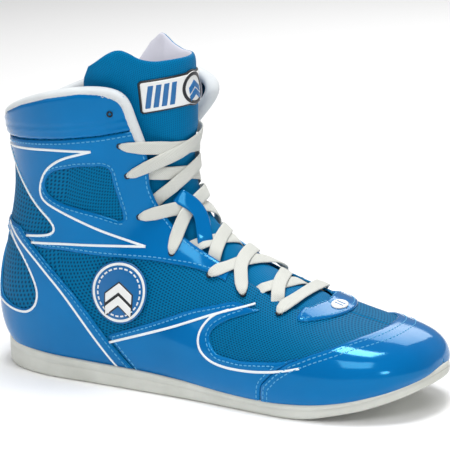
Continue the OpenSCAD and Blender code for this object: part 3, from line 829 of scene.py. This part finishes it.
def toe():
    """The toe cap, and the round patch at the foot of the throat with its medallion."""
    seam = FULL.inside(under(TOE_SEAM + [(330, 50)]))
    front = FULL.inside(TOE_SEAM + [(330, 60), (330, -30), (191, -30)])
    overlay("toe_cap", FULL, np.minimum(seam, front), "toe_cap", 0.2, [2.0, 4.4])
    nose = rounded([(206.4, -33), (216, -27), (224, -15), (227, 0), (224, 15), (216, 27), (206.4, 33)], 9)
    patch = np.minimum(signed_distance(FULL.plan, nose), FULL.from_throat() + 0.02)
    overlay("throat_patch", FULL, patch, "throat_patch", 0.1, [2.0])
    local = whole_patch(3.7, 4.7, 0.012, 900)
    middle_x, half_long, half_wide = 219, 4.2, 7.2
    x, y = local.plan.T
    away = np.hypot((x - middle_x) / half_long, y / half_wide)
    cut_and_finish("medallion_plate", local, (1 - away) * half_long, OVERLAY_HIGH + 1.0, OVERLAY_HIGH,
                   BADGE_WHITE, ["medallion"], 0.5)
    bars = np.minimum((0.68 - away) * half_long, 0.45 - abs(abs(y) - 1.6))
    cut_and_finish("medallion_bars", local, bars, OVERLAY_HIGH + 1.25, OVERLAY_HIGH + 0.9,
                   BADGE_BLUE, edge=0.3)


def apart(t):
    """Half the gap between the two sides at the back of the heel."""
    return blended(t)[..., 7]


def across_back(name, rows, half_width, high, low, edge=0.0):
    """A closed piece across the back seam. The skin is flat between the two sides' base edges there."""
    t, f = np.meshgrid(rows, np.cos(np.linspace(0, math.pi, 61)), indexing="ij")
    y = f * half_width(t)
    turn = np.arcsin(np.clip((abs(y) - apart(t)) / (blended(t)[..., 4] - apart(t)), 0, 1))
    s = np.where(y < 0, -1, 1) * (1 - turn / math.pi)
    at = skin(t, s)
    at[..., 1] = y
    rise = np.ones_like(t)
    if edge:
        mm_per_t = 15
        to_end = np.minimum(t - rows[0], rows[-1] - t) * mm_per_t
        rise = rounded_over(np.minimum(half_width(t) - abs(y), to_end), edge)
    normal = outward(t, s)
    heights = (low + (high - low) * rise[..., None], low)
    outer, inner = (((at + h * normal - MIDDLE) * MM).reshape(-1, 3) for h in heights)
    uv = np.column_stack([length_map(t.ravel(), s.ravel())[:, 0], y.ravel() * MM])
    return between(name, outer, inner, grid_faces(*t.shape), uv)


def back_stay():
    """The strip up the back that widens into a tab, over the wedge that closes the heel."""
    rows = np.linspace(10.45, 14.2, 90)
    strip = across_back("back_stay_patent", rows, lambda t: np.maximum(6, apart(t) + 1.2),
                        OVERLAY_HIGH + 1.1, OVERLAY_LOW + 1.3, 0.9)
    finish(strip, "boot", PATENT, ["back_stay"], PATENT_EDGE)
    rows = np.linspace(9.7, 12.3, 60)
    wedge = across_back("heel_wedge_patent", rows, lambda t: apart(t) + 0.1,
                        OVERLAY_HIGH + HEEL_RISE, MESH_LOW)
    finish(wedge, "boot", PATENT, (), PATENT_EDGE)
    inside = across_back("heel_wedge_lining", rows, lambda t: apart(t) + 0.8,
                         LINING_HIGH, LINING_HIGH - LINING_THICK)
    finish(inside, "boot", LINING, (), LINING)


def chevrons(across, along, rises, half_thick, peak, slope):
    """How far inside a stack of chevrons each place lies. Each chevron's point is peak over its rise."""
    bent = slope * (peak - abs(across))
    # 0.8 turns an upright distance into one square to the arms
    return np.maximum.reduce([half_thick - abs(along - rise - bent) * 0.8 for rise in rises])


def badge(word, side):
    """A round badge: a blue field, a white ring, a ring of stitches and a plain chevron mark."""
    centre = np.array([97, 57])
    patch = side_patch(side, 7.2, 10.6, 0.014, 150, 0.3, 0.6)
    x, z = (patch.side_view - centre).T
    away = np.hypot(x, z)
    base = OVERLAY_HIGH + HEEL_RISE
    radius, ring_radius, dash_radius = 18, 16.3, 13.7
    field = cut_piece(word + "_badge_field", patch, radius - away, base + 0.5, base, 0.6)
    finish(field, "boot", BADGE_BLUE, [word + "_badge"], PATENT_EDGE)
    cut_and_finish(word + "_badge_ring", patch, 0.75 - abs(away - ring_radius), base + 0.85, base + 0.3,
                   BADGE_WHITE, edge=0.4)
    dash_count = 26
    dashes = []
    for start in np.arange(dash_count) * 2 * math.pi / dash_count:
        angles = np.linspace(start, start + 3.9 / dash_count, 5)
        arc = centre + dash_radius * np.column_stack([np.cos(angles), np.sin(angles)])
        centres, wide, up = frames_along(*place(arc, side).T, base + 0.5)
        dashes.append(tube(centres, wide, up, oval(0.5 * MM, 0.35 * MM, 6)))
    finish(joined(word + "_badge_dashes", dashes), "boot", BADGE_WHITE)
    marks = np.minimum(chevrons(x, z, (-9.5, -2.2), 2.1, 6.5, 0.75), 8.6 - abs(x))
    cut_and_finish(word + "_badge_mark_edge", patch, marks + 0.8, base + 0.75, base + 0.3, DARK, edge=0.4)
    cut_and_finish(word + "_badge_mark", patch, marks, base + 1.1, base + 0.5, BADGE_WHITE, edge=0.4)


# ---------------------------------------------------------------- collar and lining

# x and z along the collar's top, then the t of points down its front
COLLAR_TOP = [(10, 150), (22, 158), (39, 165), (60, 171), (80, 174.5), (94, 174.8), (103, 172.3)]
COLLAR_FRONT_T = np.array([14.45, 14.1, 13.7, 13.3, 13.0, 12.85])


def softened(values, times):
    """Values along a line, each drawn towards its neighbours."""
    for _ in range(times):
        values[1:-1] = (values[:-2] + 2 * values[1:-1] + values[2:]) / 4
    return values


def collar_run():
    """t and s along the collar's edge, from the lateral front round the back to the medial front."""
    pieces = {}
    for side in SIDES.values():
        edge = place(resample(rounded(COLLAR_TOP, 8, closed=False), 2.0), side)
        front = np.stack([COLLAR_FRONT_T, side * (throat(COLLAR_FRONT_T, side) + 0.004)], -1)
        pieces[side] = np.vstack([edge, front])
    # The two sides join at the back, where the lateral side's s is taken to run on past 1
    lateral = pieces[LATERAL][::-1] + [0, 2]
    back = [[14.42, 1.0]]
    run = np.vstack([lateral, back, pieces[MEDIAL]])
    # One step of s is about as long as six of t
    weights = [1, 6]
    t, s = softened(resample(run * weights, 0.12) / weights, 6).T
    return t, np.where(s > 1, s - 2, s)


def collar_binding():
    """White tape rolled over the collar's edge and down its front, with a zigzag stitch."""
    t, s = collar_run()
    up = outward(t, s)
    # At the back seam the tape's outside faces straight back
    near_back = abs(abs(s) - 1) < 0.03
    up[near_back] = unit(outward(t, np.ones_like(t))[near_back] * [1, 0, 1])
    edge = lifted(t, s, 0)
    along = unit(np.gradient(edge, axis=0))
    for _ in range(3):
        up[1:-1] = unit(up[:-2] + up[1:-1] + up[2:])
        along[1:-1] = unit(along[:-2] + along[1:-1] + along[2:])
    edgewise = unit(np.cross(up, along))
    edgewise *= np.sign(edgewise[len(edgewise) // 2, 2])
    centres = edge - (2.0 * up + 0.6 * edgewise) * MM
    tape = tube(centres, up, edgewise, oval(4.2 * MM, 3.1 * MM, 16, 2.6))
    finish(joined("collar_binding_tape", [tape]), "boot", BINDING, ["collar_binding"])
    outer = edge + (2.05 * up - 1.6 * edgewise) * MM
    run = run_along(outer) / MM
    stitch_gap, half_swing = 1.7, 0.9
    stops = np.arange(1.5, run[-1] - 3, stitch_gap)
    at, across, out = (at_run(stops, run, values) for values in (outer, edgewise, up))
    swings = half_swing * MM * (-1.0) ** np.arange(len(stops))
    corners = at - across * swings[:, None]
    zigzag = []
    for a, b, normal in zip(corners[:-1], corners[1:], out):
        line = np.array([a, (a + b) / 2, b])
        wide = np.tile(unit(np.cross(normal, unit(b - a))), (3, 1))
        zigzag.append(tube(line, wide, np.tile(normal, (3, 1)), oval(0.22 * MM, 0.2 * MM, 5)))
    finish(joined("collar_zigzag", zigzag), "boot", STITCH_WHITE)


def lining():
    """The white lining, padded round the ankle."""
    for word, side in SIDES.items():
        patch = side_patch(side, 4.7, 15.3, 0.08, 80)
        inset = np.minimum(patch.inside(COLLAR) - 0.6, patch.from_throat() - 6)
        t, s, d, faces = clip_to(patch, inset)
        padding = 2.4 * smooth(12.6, 13.8, t) * smooth(0.32, 0.45, abs(s)) * smooth(0, 10, d)
        high = LINING_HIGH - padding
        obj = closed_shell(word + "_lining_cloth", t, s, faces, high, high - LINING_THICK)
        finish(obj, "boot", LINING, ["lining", "collar_padding"] if side == LATERAL else (), LINING)
    front = whole_patch(0.7, 4.38, 0.1, 100)
    obj = closed_shell("toe_lining_cloth", front.t, front.s, front.faces, -3.4, -4.4)
    finish(obj, "boot", LINING, (), LINING)


# ---------------------------------------------------------------- tongue

TONGUE_START = 4.1
TONGUE_THICK = 5.2
# Half its width in s, by t
TONGUE_WIDTH = [(4.1, 0.09), (4.9, 0.14), (5.5, 0.2), (7, 0.24), (10, 0.25), (12.9, 0.26), (13.6, 0.32),
                (14.5, 0.44), (15.0, 0.465), (15.5, 0.41), (16, 0.355)]
# The t of its top edge, from its lateral edge to its medial one
TONGUE_EDGE = [(-1, 15.5), (-0.9, 15.82), (-0.78, 15.95), (-0.68, 15.86), (-0.55, 15.64), (-0.4, 15.52),
               (0, 15.48), (0.5, 15.52), (0.68, 15.68), (0.82, 15.9), (0.9, 15.95), (0.96, 15.9), (1, 15.6)]


def soft_lookup(x, table, reach):
    """A lookup averaged over reach to either side, so that it has no corners."""
    xs, ys = zip(*table)
    return sum(np.interp(x + d * reach, xs, ys) for d in (-1, -0.5, 0, 0.5, 1)) / 5


def tongue_front(t, s):
    """Height of the tongue's outer face: full in the throat and tucked in under the eyestays."""
    share = np.clip(abs(s) / throat(np.maximum(t, 4.8)), 0, 1.3)
    tuck = 5 * (s / 0.37) ** 2 * smooth(11.5, 13.5, t) * (1 - 0.6 * smooth(15.0, 16, t))
    lean = 5 * smooth(14.4, 16, t) * (1 - 0.6 * smooth(0, 0.3, s))
    below_vamp = 1.1 * (1 - smooth(4.4, 4.8, t))
    drop = 3.9 + 1.2 * smooth(12.3, 13.5, t) - 2.4 * (1 - smooth(5.0, 7.0, t))
    puff = 2.5 * smooth(12.2, 13.2, t) * (1 - smooth(14.2, 15.2, t)) * (1 - smooth(0.0, 0.24, abs(s)))
    return puff + lean - 0.5 - drop * np.minimum(share, 1) ** 2.2 - tuck - below_vamp


def tongue():
    """The padded tongue: mesh outside, white lining inside, with soft rolled edges."""
    up, out = np.meshgrid(np.linspace(0, 1, 200), np.linspace(-1, 1, 110), indexing="ij")
    # Points crowd towards the rolled edges at its sides and top
    out = np.sin(out * math.pi / 2)
    up = 1 - (1 - up) ** 1.3
    top = soft_lookup(out, TONGUE_EDGE, 0.05)
    t = TONGUE_START + up * (top - TONGUE_START)
    s = out * soft_lookup(t, TONGUE_WIDTH, 0.25)
    side_rim = np.sqrt(np.clip(1 - abs(out) ** 8, 0, 1))
    top_rim = np.sqrt(1 - np.clip((up - 0.96) / 0.04, 0, 1) ** 2)
    rim = side_rim * top_rim
    thick = 0.4 + TONGUE_THICK * rim * (0.3 + 0.7 * smooth(0, 0.2, up))
    front = tongue_front(t, s) - 0.5 * TONGUE_THICK * (1 - rim)
    outer, inner = (lifted(t, s, h, False).reshape(-1, 3) for h in (front, front - thick))
    uv = length_map(t.ravel(), s.ravel())
    obj = between("tongue_pad", outer, inner, grid_faces(*t.shape), uv, inner_index=1, rim_index=0)
    obj.data.materials.append(TONGUE)
    obj.data.materials.append(LINING)
    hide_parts("tongue_lower", "tongue_top")
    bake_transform(obj)


def label_piece(name, patch, distance, high, low, material, nodes=()):
    """A flat piece over the tongue's outer face, cut from a patch."""
    t, s, d, faces = clip_to(patch, distance)
    base = tongue_front(t, s)
    height = base + low + (high - low) * rounded_over(d, 0.5, 0.5)
    obj = closed_shell(name, t, s, faces, height, base + low, False)
    finish(obj, "tongue_top", material, nodes, material)


def tongue_label():
    """A soft label: a white plate with a round middle, dark edges and plain blue bars."""
    t, s = np.meshgrid(np.linspace(13.6, 15.45, 150), np.linspace(-0.3, 0.3, 260), indexing="ij")
    patch = Patch(t, s)
    # Millimetres from the label's middle, up the tongue and across it
    along = (patch.t - 14.5) * 18.0
    across = patch.s * 132.0
    away = np.hypot(across, along)
    half_wide, half_high, corner = 31.5, 9.6, 2.2
    past_wide = np.maximum(abs(across) - half_wide + corner, 0)
    past_high = np.maximum(abs(along) - half_high + corner, 0)
    roundel = 10.6 - away
    outline = np.maximum(corner - np.hypot(past_wide, past_high), roundel)
    label_piece("tongue_label_edge", patch, outline, 1.1, 0.0, DARK)
    label_piece("tongue_label_plate", patch, outline - 1.0, 1.5, 0.4, BADGE_WHITE, ["tongue_label"])
    # Four slanted bars on each side of the roundel
    slanted = across - 0.18 * along
    centres = [side * (14.4 + 4.1 * k) for k in range(4) for side in (-1, 1)]
    near_bar = np.minimum.reduce([abs(slanted - centre) for centre in centres])
    bars = np.minimum.reduce([1.35 - near_bar, 6.4 - abs(along), 29.0 - abs(across), -(roundel + 1.4)])
    label_piece("tongue_label_bars", patch, bars, 1.85, 1.2, BADGE_BLUE)
    label_piece("tongue_label_ring", patch, 1.0 - abs(away - 8.3), 1.9, 1.2, DARK)
    mark = np.minimum(chevrons(across, along, (-4.6, 0.2), 1.5, 3.6, 0.8), 4.9 - abs(across))
    label_piece("tongue_label_mark", patch, mark, 2.0, 1.2, BADGE_BLUE)


# ---------------------------------------------------------------- eyelets and lace

# t and the size of s
EYELETS = [(14.32, 0.343), (13.28, 0.323), (12.19, 0.295), (10.58, 0.26), (8.7, 0.234), (7.31, 0.21),
           (6.18, 0.2), (5.07, 0.193)]
# Radius and height round a ring's section
EYELET_PROFILE = np.array([(1.0, -1.0), (1.6, -1.0), (1.85, 0.0), (1.75, 0.3), (1.5, 0.42), (1.2, 0.36),
                           (1.0, 0.1)])


def eyelets():
    """Small black rings with rolled edges."""
    count = 24
    angles = np.linspace(0, 2 * math.pi, count, endpoint=False)[:, None]
    for word, side in SIDES.items():
        rings = []
        for t, f in EYELETS:
            normal = outward(t, side * f)
            ahead = unit(np.cross(normal, [0, 1, 0.3]))
            spokes = ahead * np.cos(angles) + np.cross(normal, ahead) * np.sin(angles)
            # The top eyelet sits higher, on the padded collar
            centre = lifted(t, side * f, OVERLAY_HIGH + (1.2 if t > 14 else 0.0))
            centres, normals = (np.tile(v, (count, 1)) for v in (centre, normal))
            rings.append(tube(centres, spokes, normals, EYELET_PROFILE * MM, closed=True))
        finish(joined(word + "_eyelet_rings", rings), "boot", EYELET, [word + "_eyelets"])


# Where the strands between eyelets k and k - 1 cross
LACE_CROSSINGS = {2: (12.3, -0.07), 3: (11.25, -0.06), 4: (9.85, -0.095), 5: (8.05, -0.06),
                  6: (6.95, -0.085), 7: (5.65, -0.06)}
OVER_STAY, UNDER_STAY = 2.15, -2.4


def strand(start, crossing, end, over, on_top):
    """One crossing of the flat lace from eyelet to eyelet, over or under both eyestays."""
    x = np.linspace(-1, 1, 61)
    f = (x + 1) / 2
    start, crossing, end = (np.array(point) for point in (start, crossing, end))
    # The knots lie beyond the eyelets, so that the averaged path runs through them
    knots = (-0.5, 0.5, 1.5)
    path = zip(2 * start - crossing, crossing, 2 * end - crossing)
    t, s = (soft_lookup(f, list(zip(knots, values)), 0.12) for values in path)
    at_stay = OVER_STAY if over else UNDER_STAY
    middle = (1.2 if over else 0.5) + (1.5 if on_top else 0)
    h = middle + (at_stay - middle) * smooth(0.36, 0.72, abs(x))
    if over:
        # Its ends dip into the eyelets
        h = h - 1.6 * smooth(0.92, 1.0, abs(x))
    centres, wide, up = frames_along(t, s, h)
    stops = [0, 0.72, 0.9, 1]
    half_wide = np.interp(abs(x), stops, [3.9, 3.8, 3.0, 1.5])
    half_thick = np.interp(abs(x), stops, [0.62, 0.65, 0.9, 1.25])
    section = oval(1, 1, 14, 3.2) * np.stack([half_wide, half_thick], -1)[:, None] * MM
    # Each strand twists a little, in its own way
    lean = 0.12 * np.sin(x * 5 + start[0])[:, None]
    return tube(centres, unit(wide + up * lean), unit(up - wide * lean), section)


def lace():
    """The lace crosses over the eyestays, then under them, by turns."""
    holes = {side: [(t, side * f) for t, f in EYELETS] for side in (LATERAL, MEDIAL)}
    lowest = (EYELETS[-1][0] - 0.1, -0.02)
    strands = [strand(holes[LATERAL][-1], lowest, holes[MEDIAL][-1], True, False)]
    for k, crossing in LACE_CROSSINGS.items():
        for side in (LATERAL, MEDIAL):
            strands.append(strand(holes[side][k], crossing, holes[-side][k - 1], k % 2 == 0, side == LATERAL))
    finish(joined("flat_lace", strands), "boot", LACE, ["lace"])


def lace_keeper():
    """The glossy loop on the tongue that holds the lace in the middle."""
    f = np.linspace(0, 1, 40)
    arch = np.sin(f * math.pi)
    t = 8.25 + f * 2.3
    s = -0.12 + 0.045 * arch
    height = -0.4 + 5.4 * arch**0.6
    centres, wide, up = frames_along(t, s, height)
    strap = tube(centres, wide, up, oval(4.6 * MM, 0.55 * MM, 12, 3.5))
    finish(joined("keeper_strap", [strap]), "boot", PATENT, ["lace_keeper"])


# ---------------------------------------------------------------- sole

# x, lateral half width, medial half width
SOLE_WIDTHS = [(0, 0, 0), (0.5, 7, 7), (2.5, 13, 13), (6.5, 20, 20), (12, 25.5, 25.5), (20, 30, 30),
               (32, 34.5, 34), (48, 37.5, 36.5), (80, 39, 36), (116, 41.5, 38), (150, 44.5, 41),
               (185, 49.5, 44), (212, 52.5, 45), (235, 50, 42.5), (252, 44, 37.5), (264, 36, 30),
               (273, 28, 23), (279.5, 19, 16), (283, 11, 10), (284.5, 0, 0)]
# x and z
SOLE_BOTTOM = [(-10, 7), (0, 3.6), (7, 1.2), (14, 0), (212, 0), (224, 1.0), (235, 3.4), (255, 7.6),
               (270, 12.4), (281, 16.8), (295, 23)]
SOLE_TOP = [(-10, 21), (10, 18.4), (25, 15.5), (45, 13.6), (81, 12.6), (116, 12), (140, 11), (165, 9),
            (185, 8.2), (205, 8.2), (225, 9.6), (246, 12.8), (261, 17.8), (273, 22.5), (283, 26), (295, 29)]


def sole_loop(points_per_side=110):
    """A smooth closed outline, heel to toe along the lateral side and back."""
    x, lateral, medial = np.array(SOLE_WIDTHS, float).T
    sides = []
    for y in (-lateral, medial):
        path = np.stack([x, y], -1)
        run = run_along(path)
        sides.append(at_run(np.linspace(0, run[-1], points_per_side + 1), run, path))
    loop = np.vstack([sides[0][:-1], sides[1][:0:-1]])
    for _ in range(10):
        loop = (np.roll(loop, 1, axis=0) + 2 * loop + np.roll(loop, -1, axis=0)) / 4
    return loop


def sole():
    """The cupsole: a thin sidewall with a fine line, rising round the toe."""
    loop = sole_loop()
    count = len(loop)
    ahead = unit(np.roll(loop, -1, axis=0) - np.roll(loop, 1, axis=0))
    inwards = np.stack([-ahead[:, 1], ahead[:, 0]], -1)
    bottom, top = (soft_lookup(loop[:, 0], table, 6) for table in (SOLE_BOTTOM, SOLE_TOP))
    tall = top - bottom
    # How far each ring lies inside the outline, and its height
    rings = [(11, bottom + 0.9), (9, bottom + 0.9), (8.6, bottom), (2.6, bottom), (1.2, bottom + 0.35),
             (0.45, bottom + 1.2), (0.1, bottom + 2.2), (0, bottom + tall * 0.45),
             (0.05, bottom + tall * 0.62), (0.4, bottom + tall * 0.66), (0.05, bottom + tall * 0.70),
             (0.1, top - 1.1), (0.5, top - 0.35), (1.2, top), (2.4, top + 0.1), (3.4, top - 0.2),
             (5, top - 0.3), (12, top - 0.5), (12.3, np.minimum(top - 2.5, bottom + 2.4))]
    points = [np.column_stack([loop + inwards * inset, z]) for inset, z in rings]
    points = (np.vstack(points) - MIDDLE) * MM
    faces = []
    for first in range(0, (len(rings) - 1) * count, count):
        for k in range(count):
            a, b = first + k, first + (k + 1) % count
            faces.append((b, a, a + count, b + count))
    for first, turn in ((0, 1), ((len(rings) - 1) * count, -1)):
        for k in range(count // 2):
            corners = (k, k + 1, (count - k - 1) % count, (count - k) % count)
            faces.append(tuple(first + v for v in dict.fromkeys(corners))[::turn])
    obj = make_object("cupsole", points, faces, np.tile(loop * MM, (len(rings), 1)))
    finish(obj, "boot", SOLE, ["outsole", "tread_plate"])
    tread(loop)


def tread(loop):
    """Herringbone bars under the heel and the ball, and a pivot ring."""
    section = oval(1.5 * MM, 0.5 * MM, 8, 5)
    middle_height = 0.55
    upright = np.array([0.0, 0.0, 1.0])
    ball = np.array([186.0, -1.0])
    clear_of_rings = 22
    pitch, bar_width = 8.0, 7.2
    bars = []
    for x in np.arange(26, 214, 6.0):
        for side in (LATERAL, MEDIAL):
            edge = loop[loop[:, 1] * side > 0]
            edge = edge[np.argsort(edge[:, 0])]
            width = np.interp(x, edge[:, 0], abs(edge[:, 1])) - 10.5
            for k, y in enumerate(np.arange(1.0, width - 7, pitch)):
                lean = 2.2 if k % 2 else -2.2
                ends = np.array([[x - lean, side * y], [x + lean, side * (y + bar_width)]])
                if np.linalg.norm(ends.mean(0) - ball) < clear_of_rings:
                    continue
                centres = (np.column_stack([ends, [middle_height] * 2]) - MIDDLE) * MM
                wide = np.cross(upright, unit(centres[1] - centres[0]))
                bars.append(tube(centres, np.tile(wide, (2, 1)), np.tile(upright, (2, 1)), section))
    count = 64
    angles = np.linspace(0, 2 * math.pi, count, endpoint=False)
    spokes = np.column_stack([np.cos(angles), np.sin(angles), np.zeros(count)])
    for radius in (6, 12, 18):
        centres = (np.array([*ball, middle_height]) + radius * spokes - MIDDLE) * MM
        bars.append(tube(centres, spokes, np.tile(upright, (count, 1)), section, closed=True))
    finish(joined("tread_bars", bars), "boot", SOLE)


# ---------------------------------------------------------------- carried-over nodes

def inner_nodes():
    """Looks for the CAD nodes that are shown as they are."""
    looks = {"midsole": SOLE, "insole_board": BOARD, "sock_liner": FOAM, "toe_puff": STIFFENER,
             "heel_counter": STIFFENER}
    for name, material in looks.items():
        obj = frame["nodes"][name]
        obj.data.materials.clear()
        obj.data.materials.append(material)


# ---------------------------------------------------------------- stage

AZIMUTH, ELEVATION, ROLL = 29.0, 14.0, 2.0
DISTANCE = 1.3
LENS = 180.4
# How far the camera's aim lies to the right of the boot's middle and above it, in metres
AIM_RIGHT, AIM_UP = 0.00605, 0.0118


def camera():
    """A long lens on the lateral side, a little in front of square and a little above."""
    a, e, r = (math.radians(v) for v in (AZIMUTH, ELEVATION, ROLL))
    back = Vector((math.sin(a) * math.cos(e), -math.cos(a) * math.cos(e), math.sin(e)))
    right = Vector((math.cos(a), math.sin(a), 0))
    up = back.cross(right)
    turned_right = right * math.cos(r) - up * math.sin(r)
    turned_up = right * math.sin(r) + up * math.cos(r)
    middle_of_boot = Vector((np.array([140, 0, 80]) - MIDDLE) * MM)
    target = middle_of_boot + turned_right * AIM_RIGHT + turned_up * AIM_UP
    data = bpy.data.cameras.new("camera")
    data.lens = LENS
    data.sensor_width = 36
    data.clip_end = 50
    obj = bpy.data.objects.new("camera", data)
    bpy.context.scene.collection.objects.link(obj)
    turn = Matrix((turned_right, turned_up, back)).transposed().to_4x4()
    obj.matrix_world = Matrix.Translation(target + back * DISTANCE) @ turn
    bpy.context.scene.camera = obj
    bpy.context.scene.view_settings.view_transform = "Standard"


def area_light(name, where, size, power):
    """A square white light that points at the boot."""
    data = bpy.data.lights.new(name, "AREA")
    data.energy = power
    data.size = size
    obj = bpy.data.objects.new(name, data)
    bpy.context.scene.collection.objects.link(obj)
    obj.location = where
    aim = Vector((0, 0, 0.08)) - Vector(where)
    obj.rotation_euler = aim.to_track_quat("-Z", "Y").to_euler()


def stage():
    """A wide white floor, an even white world and the studio's lights."""
    half_floor = 30
    corners = [(x * half_floor, y * half_floor, 0) for x, y in ((-1, -1), (1, -1), (1, 1), (-1, 1))]
    floor = make_object("floor", corners, [(0, 1, 2, 3)], shade=False)
    floor.data.materials.append(plastic("floor_white", (0.95, 0.95, 0.95), 0.9))
    world = bpy.data.worlds.new("world")
    world.use_nodes = True
    background = world.node_tree.nodes["Background"]
    background.inputs["Color"].default_value = (1, 1, 1, 1)
    background.inputs["Strength"].default_value = 0.3
    bpy.context.scene.world = world
    area_light("key", (0.5, -1.3, 1.5), 0.8, 12)
    area_light("fill", (-1.2, -1.0, 0.9), 0.8, 1.5)
    area_light("rim", (-0.2, 1.3, 1.1), 0.9, 8)
    area_light("overhead", (0.1, 0.0, 1.9), 0.6, 24)
    area_light("toe_strip", (1.0, -0.9, 0.35), 0.2, 2)


mesh_base()
overlays()
toe()
back_stay()
for side_word, side_sign in SIDES.items():
    badge(side_word, side_sign)
collar_binding()
lining()
tongue()
tongue_label()
eyelets()
lace()
lace_keeper()
sole()
inner_nodes()
camera()
stage()
